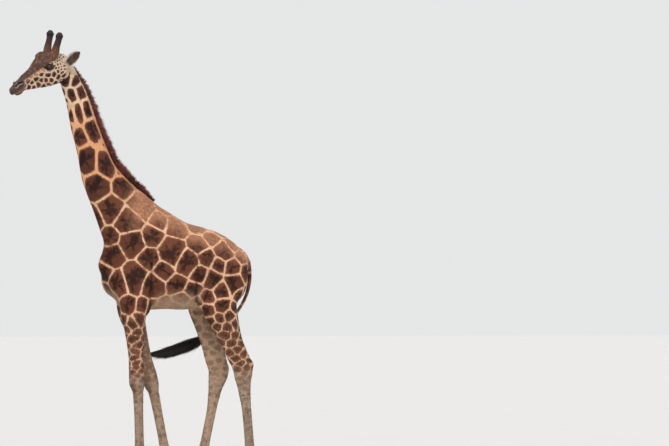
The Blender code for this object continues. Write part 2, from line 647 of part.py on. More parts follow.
def part_head(head, pieces):
    """Cut the horns and the jaw from the head, sink the eyes and set the ears on it."""
    turn = head_matrix()
    straight = turn.to_3x3()
    ears = {}
    for side, sign in SIDES.items():
        rows = [(x, y * sign, *rest) for x, y, *rest in EAR]
        across = Vector((-EAR_ACROSS.x * sign, EAR_ACROSS.y, -EAR_ACROSS.z * sign))
        ear = mesh_of(in_head(sweep(rows, across=across, cup=EAR_CUP, sides=10, per_span=1)), "ear")
        ears[side] = boolean(ear, swollen(head, GAP), "DIFFERENCE", f"ear_{side}")
    for side, sign in SIDES.items():
        head = boolean(head, eyeball(sign, EYE_RADIUS + SOCKET_CLEARANCE), "DIFFERENCE", "head")
        pieces[f"eye_{side}"] = (eyeball(sign, EYE_RADIUS), "eye")
    horns, rest = parted(head, turn @ Vector((-0.2, 0.0, OSSICONE_CUT_HEIGHT)),
                         straight @ Vector((0.0, 0.0, 1.0)), "horns", "head")
    for side, sign in SIDES.items():
        tip = turn @ mirrored(OSSICONE[0][:3], sign)
        pieces[f"ossicone_{side}"] = (island(horns, tip, f"ossicone_{side}"), "horn")
        outer = turn @ mirrored(EAR[-1][:3], sign)
        pieces[f"ear_{side}"] = (island(ears[side], outer, f"ear_{side}"), "coat")
    point, normal = JAW_CUT
    head, jaw = parted(rest, turn @ point, straight @ normal, "head", "lower_jaw")
    pieces["head"] = (head, "coat")
    pieces["lower_jaw"] = (jaw, "coat")


def build():
    """Make every node."""
    clear_scene()
    pieces = {}
    flesh = whole_body()
    mane = boolean(mesh_of(sweep(MANE, sides=8, per_span=2), "mane"), swollen(flesh, GAP), "DIFFERENCE", "mane")
    pieces["mane"] = (island(mane, MANE_POINT, "mane"), "mane")
    tail_parts = parted(mesh_of(sweep(TAIL, sides=8, per_span=2), "tail"), TAIL_END, TAIL_CUT_NORMAL, "tail", "drop")
    tail = boolean(tail_parts[0], swollen(flesh, GAP), "DIFFERENCE", "tail")
    pieces["tail"] = (island(tail, TAIL_END, "tail"), "coat")
    tuft_parts = parted(mesh_of(sweep(TAIL_TUFT, sides=10, per_span=2), "tuft"), TAIL_END, TAIL_CUT_NORMAL, "drop", "tail_tuft")
    pieces["tail_tuft"] = (tuft_parts[1], "tuft")
    head, body = parted(flesh, *HEAD_CUT, "head", "body")
    neck, torso = parted(body, *NECK_CUT, "neck", "trunk")
    part_head(head, pieces)
    torso = part_legs(torso, pieces)
    pieces["neck"] = (neck, "coat")
    pieces["trunk"] = (torso, "coat")
    for name, (mesh, finish) in pieces.items():
        mesh.transform(Matrix.Translation(FRAME_SHIFT))
        add_node(name, mesh, finish)


build()
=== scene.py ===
"""The looks of a standing giraffe at life size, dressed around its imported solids.

The animal faces -X with its left side towards -Y. Its flesh is one skin that lies inside the solids
by the depth of the coat. Short tufts, a mane, lashes and a tail tuft stand on that skin, and the eyes,
horns and hooves are pieces of their own.
"""
from __future__ import annotations

import logging
import math
from contextlib import contextmanager
from dataclasses import dataclass, field, replace
from enum import Enum, IntEnum
from typing import Callable, Iterator, Optional, Sequence

import bmesh
import bpy
import numpy as np
from mathutils import Euler, Matrix, Vector
from mathutils.kdtree import KDTree


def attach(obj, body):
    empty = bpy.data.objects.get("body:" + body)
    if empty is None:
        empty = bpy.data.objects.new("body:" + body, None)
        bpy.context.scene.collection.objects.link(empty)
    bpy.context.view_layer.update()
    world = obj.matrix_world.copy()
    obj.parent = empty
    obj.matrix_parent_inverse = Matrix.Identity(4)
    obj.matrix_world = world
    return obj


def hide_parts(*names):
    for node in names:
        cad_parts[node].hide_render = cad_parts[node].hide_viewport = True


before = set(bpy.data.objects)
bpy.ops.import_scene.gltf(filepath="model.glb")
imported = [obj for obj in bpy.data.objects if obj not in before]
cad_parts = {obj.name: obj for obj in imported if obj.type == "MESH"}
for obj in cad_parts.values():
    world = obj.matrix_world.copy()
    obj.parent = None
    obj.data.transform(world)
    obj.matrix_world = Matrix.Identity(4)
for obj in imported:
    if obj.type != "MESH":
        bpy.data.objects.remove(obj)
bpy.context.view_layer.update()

LOG = logging.getLogger("giraffe")
ROOT = "root"
Array = np.ndarray
Rows = Sequence[Sequence[float]]
Form = tuple[Array, list]
Colour = tuple[float, float, float]
Mesh = bpy.types.Mesh
Item = bpy.types.Object
Material = bpy.types.Material
Socket = bpy.types.NodeSocket
Tree = bpy.types.NodeTree
Node = bpy.types.Node

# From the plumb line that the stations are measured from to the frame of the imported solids.
FRAME_SHIFT = np.array((0.4635, -0.068, 0.0))
POLL_X = -1.104
HEAD_PIVOT = 4.1
HEAD_YAW = math.radians(12.0)
HEAD_ROLL = math.radians(8.0)


class Side(Enum):
    """A side of the animal, with the sign of its y."""

    LEFT = -1.0
    RIGHT = 1.0


class Pair(Enum):
    """A pair of legs."""

    FORE = "foreleg"
    HIND = "hindleg"


# ---- Numbers and meshes ----

def smooth(low: float, high: float, value: Array) -> Array:
    """A smooth rise from 0 at low to 1 at high."""
    t = np.clip((value - low) / (high - low), 0.0, 1.0)
    return t * t * (3.0 - 2.0 * t)


def bump(distance: Array, width: float) -> Array:
    """A bell that is 1 where distance is 0 and fades over width."""
    return np.exp(-(distance / width) ** 2)


def within(low: float, high: float, along: Array) -> Array:
    """A share that rises over the start of a run, up to low, and falls over its end, from high."""
    return smooth(0.0, low, along) * smooth(1.0, high, along)


def mixed(values: Array, *layers: tuple) -> Array:
    """Values moved in turn towards those of each layer, by the share that comes with them."""
    for other, share in layers:
        values = values + (np.asarray(other) - values) * (share[:, None] if values.ndim == 2 else share)
    return values


def linear(red: int, green: int, blue: int) -> Colour:
    """A display colour from 0 to 255 as the linear colour that a shader takes."""
    out = []
    for part in (red, green, blue):
        c = part / 255.0
        out.append(c / 12.92 if c <= 0.04045 else ((c + 0.055) / 1.055) ** 2.4)
    return tuple(out)


def path_distance(points: Array, path: Rows) -> tuple[Array, Array]:
    """The distance from each point to a path of straight runs.

    Args:
        points: one point for each row, in as many dimensions as the path.
        path: the path's points in order.

    Returns:
        The distance, and how far along the path the nearest place is, from 0 to 1.
    """
    path = np.asarray(path, float)
    lengths = np.linalg.norm(np.diff(path, axis=0), axis=1)
    starts = np.concatenate([[0.0], np.cumsum(lengths)])
    best = np.full(len(points), np.inf)
    along = np.zeros(len(points))
    for index, length in enumerate(lengths):
        start, run = path[index], path[index + 1] - path[index]
        t = np.clip(((points - start) @ run) / length ** 2, 0.0, 1.0)
        gap = np.linalg.norm(points - start - t[:, None] * run, axis=1)
        nearer = gap < best
        best = np.where(nearer, gap, best)
        along = np.where(nearer, (starts[index] + t * length) / starts[-1], along)
    return best, along


def mesh_from(verts: Array, faces: Sequence, name: str) -> Mesh:
    """A mesh made from points and faces."""
    mesh = bpy.data.meshes.new(name)
    mesh.from_pydata(verts, [], faces)
    mesh.update()
    return mesh


def read(items: Sequence, key: str, width: int = 1, kind: type = np.float32) -> Array:
    """A property of every item, in rows where it has more than one number."""
    flat = np.empty(len(items) * width, kind)
    items.foreach_get(key, flat)
    return flat.reshape(-1, width) if width > 1 else flat


def points_of(mesh: Mesh) -> Array:
    """The places of a mesh's vertices, one row each."""
    return read(mesh.vertices, "co", 3).astype(float)


def set_points(mesh: Mesh, points: Array) -> None:
    """Move a mesh's vertices to new places."""
    mesh.vertices.foreach_set("co", points.astype(np.float32).ravel())
    mesh.update()


def normals_of(mesh: Mesh) -> Array:
    """The unit normals of a mesh's vertices."""
    return read(mesh.vertex_normals, "vector", 3).astype(float)


def corner_tables(mesh: Mesh) -> tuple[Array, Array, Array]:
    """The vertex and the face of each corner, and each face's count of corners."""
    total = read(mesh.polygons, "loop_total", kind=np.int32)
    return read(mesh.loops, "vertex_index", kind=np.int32), np.repeat(np.arange(len(total)), total), total


@contextmanager
def edited(mesh: Mesh) -> Iterator[bmesh.types.BMesh]:
    """A mesh in its form for edits, which is written back afterwards."""
    bm = bmesh.new()
    bm.from_mesh(mesh)
    yield bm
    bm.to_mesh(mesh)
    bm.free()


def store(mesh: Mesh, **values: Array) -> None:
    """Keep numbers or vectors for each vertex under their names."""
    for name, array in values.items():
        kind, key = ("FLOAT_VECTOR", "vector") if array.ndim == 2 else ("FLOAT", "value")
        attribute = mesh.attributes.get(name) or mesh.attributes.new(name, kind, "POINT")
        attribute.data.foreach_set(key, array.astype(np.float32).ravel())


def evaluated(mesh: Mesh, dress: Callable[[Item], Optional[list]]) -> Mesh:
    """The mesh after the modifiers that dress adds to an object that holds it."""
    holder = bpy.data.objects.new("work", mesh)
    bpy.context.scene.collection.objects.link(holder)
    extra = dress(holder) or []
    graph = bpy.context.evaluated_depsgraph_get()
    result = bpy.data.meshes.new_from_object(holder.evaluated_get(graph))
    for item in [holder, *extra]:
        bpy.data.objects.remove(item, do_unlink=True)
    return result


def smooth_rows(stations: Rows, per_span: int) -> Array:
    """Rows read from a smooth curve through the stations, spaced by distance."""
    rows = np.array(stations, dtype=float)
    steps = np.linalg.norm(np.diff(rows[:, :3], axis=0), axis=1)
    knots = np.concatenate([[0.0], np.cumsum(np.sqrt(steps))])
    spans = np.diff(knots)[:, None]
    slopes = np.diff(rows, axis=0) / spans
    tangents = np.empty_like(rows)
    tangents[0], tangents[-1] = slopes[0], slopes[-1]
    tangents[1:-1] = (slopes[:-1] * spans[1:] + slopes[1:] * spans[:-1]) / (spans[1:] + spans[:-1])
    turning = slopes[:-1, 3:] * slopes[1:, 3:] <= 0.0
    limit = 3.0 * np.minimum(np.abs(slopes[:-1, 3:]), np.abs(slopes[1:, 3:]))
    eased = np.sign(tangents[1:-1, 3:]) * np.minimum(np.abs(tangents[1:-1, 3:]), limit)
    tangents[1:-1, 3:] = np.where(turning, 0.0, eased)
    out = []
    for index, span in enumerate(spans[:, 0]):
        for t in np.linspace(0.0, 1.0, per_span, endpoint=False):
            start, end = rows[index], rows[index + 1]
            blend = 3.0 * t ** 2 - 2.0 * t ** 3
            lean = (t ** 3 - 2.0 * t ** 2 + t) * span * tangents[index]
            pull = (t ** 3 - t ** 2) * span * tangents[index + 1]
            out.append(start * (1.0 - blend) + end * blend + lean + pull)
    out.append(rows[-1])
    return np.array(out)


def unit(vectors: Array) -> Array:
    """The vectors at length 1."""
    return vectors / np.maximum(np.linalg.norm(vectors, axis=-1, keepdims=True), 1e-12)


def shell(rings: Sequence[Array], ends: Rows, flip: bool = False) -> Form:
    """A closed form from rings of points.

    Args:
        rings: the rings in order, all with the same number of points.
        ends: the point beyond the first ring and the point beyond the last.
        flip: whether the faces turn round the other way.

    Returns:
        The points and the faces.
    """
    sides = len(rings[0])
    ring = np.arange(sides)
    after = (ring + 1) % sides
    last, first_end = (len(rings) - 1) * sides, len(rings) * sides
    faces = []
    for a in range(0, last, sides):
        faces += np.stack([a + ring, a + after, a + sides + after, a + sides + ring], 1).tolist()
    faces += np.stack([after, ring, np.full_like(ring, first_end)], 1).tolist()
    faces += np.stack([last + ring, last + after, np.full_like(ring, first_end + 1)], 1).tolist()
    if flip:
        faces = [[face[0], *face[:0:-1]] for face in faces]
    return np.concatenate([*rings, np.asarray(ends)]), faces


@dataclass(frozen=True)
class Sweep:
    """A closed form swept through stations: x, y, z, half width, reach above and reach below."""

    stations: Rows
    across: Sequence[float] = (0.0, 1.0, 0.0)
    cup: float = 0.0
    plumb: bool = False
    sides: int = 32
    per_span: int = 8
    dome: float = 0.6
    cap_rings: int = 3

    def frames(self) -> tuple[Array, Array, Array, Array]:
        """The rows with their tangent, up and side directions."""
        rows = smooth_rows(self.stations, self.per_span)
        tangents = unit(np.gradient(rows[:, :3], axis=0))
        if self.plumb:
            tangents = np.tile((1.0, 0.0, 0.0), (len(rows), 1))
        up = unit(np.cross(tangents, self.across))
        return rows, tangents, up, unit(np.cross(up, tangents))

    def arrays(self) -> Form:
        """The points and faces of the closed form."""
        rows, tangents, up, side = self.frames()
        last = len(rows) - 1
        order = [(0, k / self.cap_rings, -1.0) for k in range(1, self.cap_rings)]
        order += [(i, 1.0, 0.0) for i in range(len(rows))]
        order += [(last, k / self.cap_rings, 1.0) for k in range(self.cap_rings - 1, 0, -1)]
        turn = 2.0 * math.pi * np.arange(self.sides) / self.sides
        y, z = np.cos(turn), np.sin(turn)
        domes = self.dome * rows[:, 3:].min(axis=1)
        rings = []
        for index, scale, end in order:
            half, above, below = rows[index, 3:]
            angle = math.pi / 2.0 * (1.0 - scale)
            grow = math.cos(angle) if end else 1.0
            centre = rows[index, :3] + tangents[index] * end * domes[index] * math.sin(angle)
            lift = np.where(z > 0.0, above, below) * z + self.cup * half * y * y
            rings.append(centre + grow * (half * y[:, None] * side[index] + lift[:, None] * up[index]))
        tips = [rows[k, :3] + tangents[k] * end * domes[k] for k, end in ((0, -1.0), (last, 1.0))]
        return shell(rings, tips)


@dataclass(frozen=True)
class Lobe:
    """An ellipsoid, pitched about the side axis by so many degrees."""

    centre: Sequence[float]
    radii: Sequence[float]
    pitch: float = 0.0
    rings: int = 20
    sides: int = 32

    def on(self, side: Side) -> Lobe:
        """The same lobe on one side."""
        return replace(self, centre=tuple(on_side(self.centre, side)))

    def arrays(self) -> Form:
        """The points and faces of the ellipsoid."""
        turn = 2.0 * math.pi * np.arange(self.sides) / self.sides
        rings = []
        for drop in math.pi * np.arange(1, self.rings) / self.rings:
            wide, high = math.sin(drop), math.cos(drop)
            rings.append(np.stack((np.cos(turn) * wide, np.sin(turn) * wide, np.full_like(turn, high)), 1))
        points, faces = shell(rings, ((0.0, 0.0, 1.0), (0.0, 0.0, -1.0)), flip=True)
        tilt = np.array(Euler((0.0, math.radians(self.pitch), 0.0)).to_matrix())
        return points * self.radii @ tilt.T + self.centre, faces


def moved(points: Array, matrix: Array) -> Array:
    """Points moved by a 4 by 4 matrix."""
    return points @ matrix[:3, :3].T + matrix[:3, 3]


def placed(form: Form, matrix: Array) -> Form:
    """A form moved by a 4 by 4 matrix."""
    return moved(form[0], matrix), form[1]


def gathered(forms: Sequence[Form], name: str) -> Mesh:
    """One mesh that holds every form as a shell of its own."""
    verts, faces, start = [], [], 0
    for points, polygons in forms:
        verts.append(points)
        faces += [[start + corner for corner in polygon] for polygon in polygons]
        start += len(points)
    return mesh_from(np.concatenate(verts), faces, name)


def melted(mesh: Mesh, voxel: float, rounds: int, hollow_rounds: int) -> Mesh:
    """Overlapping shells joined as one surface, eased, with its inner corners filled.

    Args:
        mesh: the shells.
        voxel: the size of the new faces.
        rounds: how many rounds of smoothing take the steps off the new faces.
        hollow_rounds: how many rounds fill what is hollow and leave what is round.

    Returns:
        The one closed surface.
    """
    def melt(holder: Item) -> None:
        """Wrap the shells in one even net of faces."""
        step = holder.modifiers.new("melt", "REMESH")
        step.mode = "VOXEL"
        step.voxel_size = voxel
    result = evaluated(mesh, melt)
    for _ in range(rounds):
        relax(result, 0.5, 0.5)
        relax(result, -0.52, -0.52)
    for _ in range(hollow_rounds):
        relax(result, 0.9, 0.0)
    return result


def relax(mesh: Mesh, hollow: float, round_share: float) -> None:
    """Move each vertex along its normal towards the middle of its neighbours.

    Args:
        mesh: the surface, which is changed.
        hollow: the share of the way that a vertex in a hollow goes.
        round_share: the share of the way that a vertex on a rise goes.
    """
    points, normals = points_of(mesh), normals_of(mesh)
    one, two = read(mesh.edges, "vertices", 2, np.int32).T

    def gather(values: Array) -> Array:
        """The sum of each vertex's neighbours' values."""
        return np.bincount(one, values[two], len(values)) + np.bincount(two, values[one], len(values))
    count = np.maximum(gather(np.ones(len(points))), 1.0)
    step = np.stack([gather(column) / count for column in points.T], 1) - points
    rise = np.einsum("ij,ij->i", step, normals)
    share = np.where(rise > 0.0, hollow, round_share)
    slide = step - rise[:, None] * normals
    set_points(mesh, points + normals * (rise * share)[:, None] + slide * 0.3)


def grown(mesh: Mesh, form: Form) -> Mesh:
    """The mesh joined with another closed form."""
    def grow(holder: Item) -> list:
        """Add the form to what the holder holds."""
        tool = bpy.data.objects.new("form", gathered([form], "form"))
        bpy.context.scene.collection.objects.link(tool)
        step = holder.modifiers.new("grow", "BOOLEAN")
        step.operation = "UNION"
        step.solver = "EXACT"
        step.object = tool
        return [tool]
    return evaluated(mesh, grow)


def eased(mesh: Mesh, share: Array, rounds: int) -> Mesh:
    """The mesh after rounds of smoothing that each vertex takes its own share of."""
    def dress(holder: Item) -> None:
        """Smooth the surface by the weights of its vertices."""
        group = holder.vertex_groups.new(name="ease")
        levels = np.round(share * 10.0).astype(int)
        for level in np.unique(levels[levels > 0]):
            group.add(np.flatnonzero(levels == level).tolist(), level / 10.0, "REPLACE")
        step = holder.modifiers.new("ease", "SMOOTH")
        step.factor = 0.5
        step.iterations = rounds
        step.vertex_group = group.name
    return evaluated(mesh, dress)


def halved(mesh: Mesh, point: Sequence[float], normal: Sequence[float]) -> Mesh:
    """The part of a mesh behind a plane, left open along the cut."""
    with edited(mesh) as bm:
        parts = bm.verts[:] + bm.edges[:] + bm.faces[:]
        bmesh.ops.bisect_plane(bm, geom=parts, dist=1e-5, plane_co=point, plane_no=normal, clear_outer=True)
    return mesh


def head_matrix() -> Array:
    """From the head's own straight frame to its turned place on the neck."""
    turn = Euler((HEAD_ROLL, 0.0, HEAD_YAW), "XYZ").to_matrix().to_4x4()
    there = Matrix.Translation((POLL_X, 0.0, HEAD_PIVOT)) @ turn
    return np.array(there @ Matrix.Translation((0.0, 0.0, -HEAD_PIVOT)))


def in_plumb(points: Array) -> Array:
    """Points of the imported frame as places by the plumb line."""
    return points - FRAME_SHIFT


def in_head(points: Array) -> Array:
    """Points by the plumb line as places in the head's own straight frame."""
    return moved(points, np.linalg.inv(head_matrix()))


def turned_to_head(directions: Array) -> Array:
    """Directions by the plumb line as directions in the head's own straight frame."""
    return directions @ np.linalg.inv(head_matrix())[:3, :3].T


def from_head(points: Array) -> Array:
    """Places in the head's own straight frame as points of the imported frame."""
    return moved(points, head_matrix()) + FRAME_SHIFT


def on_side(place: Sequence[float], side: Side) -> Array:
    """A place, or the first three numbers of a station, on one side of the animal."""
    return np.array((place[0], place[1] * side.value, place[2]))


# ---- Flesh ----

TRUNK = (
    (-0.792, 0.0, 2.15, 0.08, 0.1, 0.09), (-0.745, 0.0, 2.13, 0.145, 0.22, 0.165),
    (-0.65, 0.0, 2.12, 0.205, 0.43, 0.3), (-0.5, 0.0, 2.11, 0.25, 0.59, 0.4),
    (-0.3, 0.0, 2.12, 0.28, 0.67, 0.425), (-0.1, 0.0, 2.13, 0.31, 0.57, 0.425),
    (0.1, 0.0, 2.12, 0.325, 0.465, 0.42), (0.3, 0.0, 2.13, 0.315, 0.4, 0.395),
    (0.45, 0.0, 2.14, 0.285, 0.34, 0.32), (0.6, 0.0, 2.16, 0.235, 0.23, 0.23),
    (0.7, 0.0, 2.16, 0.175, 0.13, 0.16), (0.765, 0.0, 2.17, 0.08, 0.06, 0.06),
)
NECK = (
    (-1.135, 0.0, 4.15, 0.066, 0.05, 0.075), (-1.11, 0.0, 4.05, 0.082, 0.08, 0.112),
    (-1.025, 0.0, 3.8, 0.087, 0.125, 0.125), (-0.958, 0.0, 3.558, 0.092, 0.145, 0.145),
    (-0.87, 0.0, 3.287, 0.102, 0.162, 0.162), (-0.789, 0.0, 3.044, 0.117, 0.197, 0.197),
    (-0.637, 0.0, 2.794, 0.142, 0.26, 0.26), (-0.525, 0.0, 2.643, 0.175, 0.31, 0.32),
    (-0.36, 0.0, 2.42, 0.22, 0.38, 0.38),
)
TAIL = (
    (0.64, 0.0, 2.3, 0.05, 0.05, 0.05), (0.735, 0.01, 2.245, 0.037, 0.037, 0.037),
    (0.802, 0.055, 2.09, 0.025, 0.025, 0.025), (0.815, 0.17, 1.87, 0.019, 0.019, 0.019),
    (0.735, 0.3, 1.66, 0.017, 0.017, 0.017), (0.59, 0.375, 1.51, 0.016, 0.016, 0.016),
    (0.43, 0.4, 1.415, 0.016, 0.016, 0.016),
)
TAIL_TUFT = (
    (0.48, 0.395, 1.445, 0.018, 0.018, 0.018), (0.38, 0.403, 1.39, 0.04, 0.044, 0.046),
    (0.27, 0.412, 1.345, 0.046, 0.052, 0.054), (0.14, 0.418, 1.3, 0.042, 0.046, 0.05),
    (0.02, 0.412, 1.272, 0.03, 0.032, 0.036), (-0.08, 0.4, 1.262, 0.012, 0.012, 0.014),
)
MANE = (
    (-1.078, 0.0, 4.115, 0.016, 0.034, 0.03), (-1.035, 0.0, 4.025, 0.02, 0.052, 0.04),
    (-0.966, 0.0, 3.9, 0.022, 0.066, 0.04), (-0.895, 0.0, 3.74, 0.022, 0.07, 0.04),
    (-0.822, 0.0, 3.52, 0.022, 0.076, 0.04), (-0.743, 0.0, 3.345, 0.022, 0.078, 0.04),
    (-0.64, 0.0, 3.145, 0.022, 0.078, 0.04), (-0.5, 0.0, 3.0, 0.021, 0.074, 0.04),
    (-0.36, 0.0, 2.895, 0.019, 0.055, 0.04), (-0.225, 0.0, 2.79, 0.014, 0.022, 0.03),
)
# A leg's joints from the top down, then the sections that a pair of legs shares: the bone it lies
# on, how far down that bone, then half width and reach behind and in front.
LEG_JOINTS = {
    (Pair.FORE, Side.LEFT): ((-0.53, -0.175, 2.1), (-0.475, -0.166, 1.7), (-0.4465, -0.15, 0.985),
                             (-0.42, -0.146, 0.21), (-0.446, -0.146, 0.1)),
    (Pair.FORE, Side.RIGHT): ((-0.48, 0.175, 2.1), (-0.4, 0.166, 1.7), (-0.205, 0.15, 0.985),
                              (-0.045, 0.146, 0.21), (-0.066, 0.146, 0.1)),
    (Pair.HIND, Side.LEFT): ((0.42, -0.15, 2.08), (0.42, -0.165, 1.75), (0.668, -0.155, 1.1),
                             (0.745, -0.145, 0.21), (0.722, -0.145, 0.1)),
    (Pair.HIND, Side.RIGHT): ((0.4, 0.15, 2.08), (0.385, 0.165, 1.75), (0.513, 0.155, 1.06),
                              (0.325, 0.145, 0.21), (0.292, 0.145, 0.1)),
}
LEG_SECTIONS = {
    Pair.FORE: (
        (0, 0.0, 0.11, 0.15, 0.13), (0, 0.6, 0.112, 0.15, 0.145), (1, 0.0, 0.102, 0.135, 0.155),
        (1, 0.11, 0.096, 0.116, 0.148), (1, 0.25, 0.087, 0.105, 0.125), (1, 0.5, 0.073, 0.086, 0.098),
        (1, 0.7, 0.064, 0.079, 0.087), (1, 0.9, 0.069, 0.085, 0.089), (2, 0.0, 0.069, 0.083, 0.087),
        (2, 0.06, 0.064, 0.079, 0.08), (2, 0.13, 0.052, 0.067, 0.055), (2, 0.25, 0.045, 0.062, 0.047),
        (2, 0.5, 0.041, 0.056, 0.043), (2, 0.75, 0.042, 0.055, 0.045), (2, 0.92, 0.05, 0.062, 0.055),
        (3, 0.0, 0.056, 0.068, 0.062), (3, 0.45, 0.056, 0.06, 0.06),
    ),
    Pair.HIND: (
        (0, 0.0, 0.12, 0.22, 0.22), (0, 0.6, 0.13, 0.23, 0.22), (1, 0.0, 0.12, 0.19, 0.205),
        (1, 0.2, 0.105, 0.15, 0.18), (1, 0.385, 0.088, 0.122, 0.155), (1, 0.6, 0.074, 0.105, 0.133),
        (1, 0.77, 0.062, 0.112, 0.126), (1, 0.92, 0.058, 0.116, 0.112), (2, 0.0, 0.058, 0.106, 0.112),
        (2, 0.06, 0.057, 0.096, 0.11), (2, 0.16, 0.052, 0.072, 0.088), (2, 0.3, 0.046, 0.058, 0.066),
        (2, 0.42, 0.041, 0.054, 0.052), (2, 0.75, 0.041, 0.054, 0.047), (2, 0.92, 0.048, 0.06, 0.055),
        (3, 0.0, 0.054, 0.066, 0.062), (3, 0.45, 0.054, 0.06, 0.06),
    ),
}
# The last sections of every leg, which the hoof takes up.
FOOT_SECTIONS = ((3, 1.0, 0.073, 0.075, 0.082), (3, 1.6, 0.076, 0.078, 0.086))
# The head's forms stand in its own frame: x along the face from the poll, forwards is -x.
SKULL = (
    (-0.652, 0.0, 3.88, 0.038, 0.036, 0.03), (-0.625, 0.0, 3.89, 0.05, 0.056, 0.044),
    (-0.59, 0.0, 3.912, 0.055, 0.07, 0.052), (-0.545, 0.0, 3.952, 0.052, 0.088, 0.062),
    (-0.5, 0.0, 3.985, 0.053, 0.102, 0.075), (-0.457, 0.0, 4.015, 0.058, 0.123, 0.085),
    (-0.42, 0.0, 4.045, 0.066, 0.148, 0.095), (-0.38, 0.0, 4.07, 0.08, 0.163, 0.105),
    (-0.32, 0.0, 4.09, 0.096, 0.172, 0.115), (-0.25, 0.0, 4.1, 0.103, 0.168, 0.125),
    (-0.17, 0.0, 4.1, 0.1, 0.163, 0.13), (-0.09, 0.0, 4.09, 0.09, 0.163, 0.13),
    (-0.025, 0.0, 4.08, 0.074, 0.15, 0.11),
)
MANDIBLE = (
    (-0.612, 0.0, 3.848, 0.026, 0.018, 0.018), (-0.585, 0.0, 3.852, 0.036, 0.026, 0.028),
    (-0.545, 0.0, 3.866, 0.037, 0.03, 0.031), (-0.5, 0.0, 3.902, 0.034, 0.03, 0.03),
    (-0.44, 0.0, 3.925, 0.037, 0.04, 0.041), (-0.395, 0.0, 3.94, 0.042, 0.05, 0.05),
    (-0.32, 0.0, 3.962, 0.05, 0.06, 0.06), (-0.245, 0.0, 3.985, 0.058, 0.07, 0.073),
    (-0.17, 0.0, 4.01, 0.062, 0.08, 0.076), (-0.1, 0.0, 4.03, 0.058, 0.08, 0.075),
)
OSSICONE = (
    (-0.194, 0.096, 4.463, 0.025, 0.024, 0.024), (-0.196, 0.095, 4.443, 0.035, 0.034, 0.034),
    (-0.2, 0.092, 4.404, 0.031, 0.03, 0.03), (-0.211, 0.086, 4.35, 0.032, 0.032, 0.032),
    (-0.222, 0.078, 4.285, 0.038, 0.04, 0.045), (-0.228, 0.065, 4.21, 0.045, 0.05, 0.06),
)
EAR = (
    (-0.096, 0.058, 4.115, 0.022, 0.022, 0.022), (-0.086, 0.084, 4.148, 0.032, 0.02, 0.02),
    (-0.072, 0.114, 4.184, 0.049, 0.012, 0.016), (-0.056, 0.146, 4.222, 0.057, 0.01, 0.013),
    (-0.038, 0.176, 4.258, 0.05, 0.009, 0.011), (-0.021, 0.202, 4.287, 0.028, 0.007, 0.009),
    (-0.015, 0.211, 4.297, 0.009, 0.005, 0.006),
)
EAR_ACROSS = (0.48, 0.48, -0.68)
EYE = (-0.284, 0.09, 4.128)
EYE_RADIUS = 0.025
HEAD_LOBES = (
    Lobe((-0.33, 0.0, 4.226), (0.074, 0.046, 0.052), 2.0),
    Lobe((-0.272, 0.04, 4.198), (0.075, 0.044, 0.05), 0.0),
    Lobe((-0.285, 0.08, 4.16), (0.06, 0.026, 0.026), 8.0),
    Lobe((-0.215, 0.06, 4.01), (0.085, 0.036, 0.07), -14.0),
    Lobe((-0.33, 0.074, 4.075), (0.08, 0.02, 0.022), -18.0),
    Lobe((-0.634, 0.0, 3.864), (0.034, 0.04, 0.034)),
    Lobe((-0.594, 0.034, 3.942), (0.034, 0.02, 0.026), 35.0),
)
# Places of the head that are eased, in its own frame, each with its radius.
HEAD_SOFT = (
    (-0.34, 0.0, 4.22, 0.085), (-0.215, 0.085, 4.01, 0.11), (-0.365, 0.07, 4.055, 0.06),
    (-0.225, 0.075, 4.24, 0.05), (-0.595, 0.035, 3.94, 0.045),
)
EAR_SOFT = ((-0.09, 0.08, 4.14, 0.04),)
MUSCLES = (
    Lobe((-0.43, 0.14, 2.24), (0.17, 0.12, 0.4), -16.0),
    Lobe((-0.6, 0.125, 2.06), (0.15, 0.1, 0.23), 12.0),
    Lobe((0.5, 0.135, 2.08), (0.22, 0.14, 0.32), -14.0),
    Lobe((0.38, 0.14, 2.31), (0.15, 0.11, 0.14)),
    Lobe((-1.128, 0.0, 3.93), (0.066, 0.056, 0.08), -20.0),
)
HOCK_POINT = ((0.078, 0.0, 0.05), (0.04, 0.034, 0.06))
ELBOW = ((0.11, 0.0, 0.02), (0.06, 0.05, 0.08))
THROAT = MUSCLES[-1]
HOOF_HEIGHT, HOOF_HEEL_HEIGHT, CORONET_LENGTH, CORONET_FORWARD = 0.105, 0.06, 0.158, -0.006


@dataclass(frozen=True)
class Fold:
    """A groove or, where its depth is below zero, a ridge along a path seen from the side."""

    path: Rows
    width: float
    depth: float


def folded(side_view: Array, folds: Sequence[Fold]) -> Array:
    """How deep the folds go in all at places that are seen from the side."""
    depth = np.zeros(len(side_view))
    for fold in folds:
        gap, along = path_distance(side_view, fold.path)
        depth += fold.depth * bump(gap, fold.width) * within(0.2, 0.8, along)
    return depth


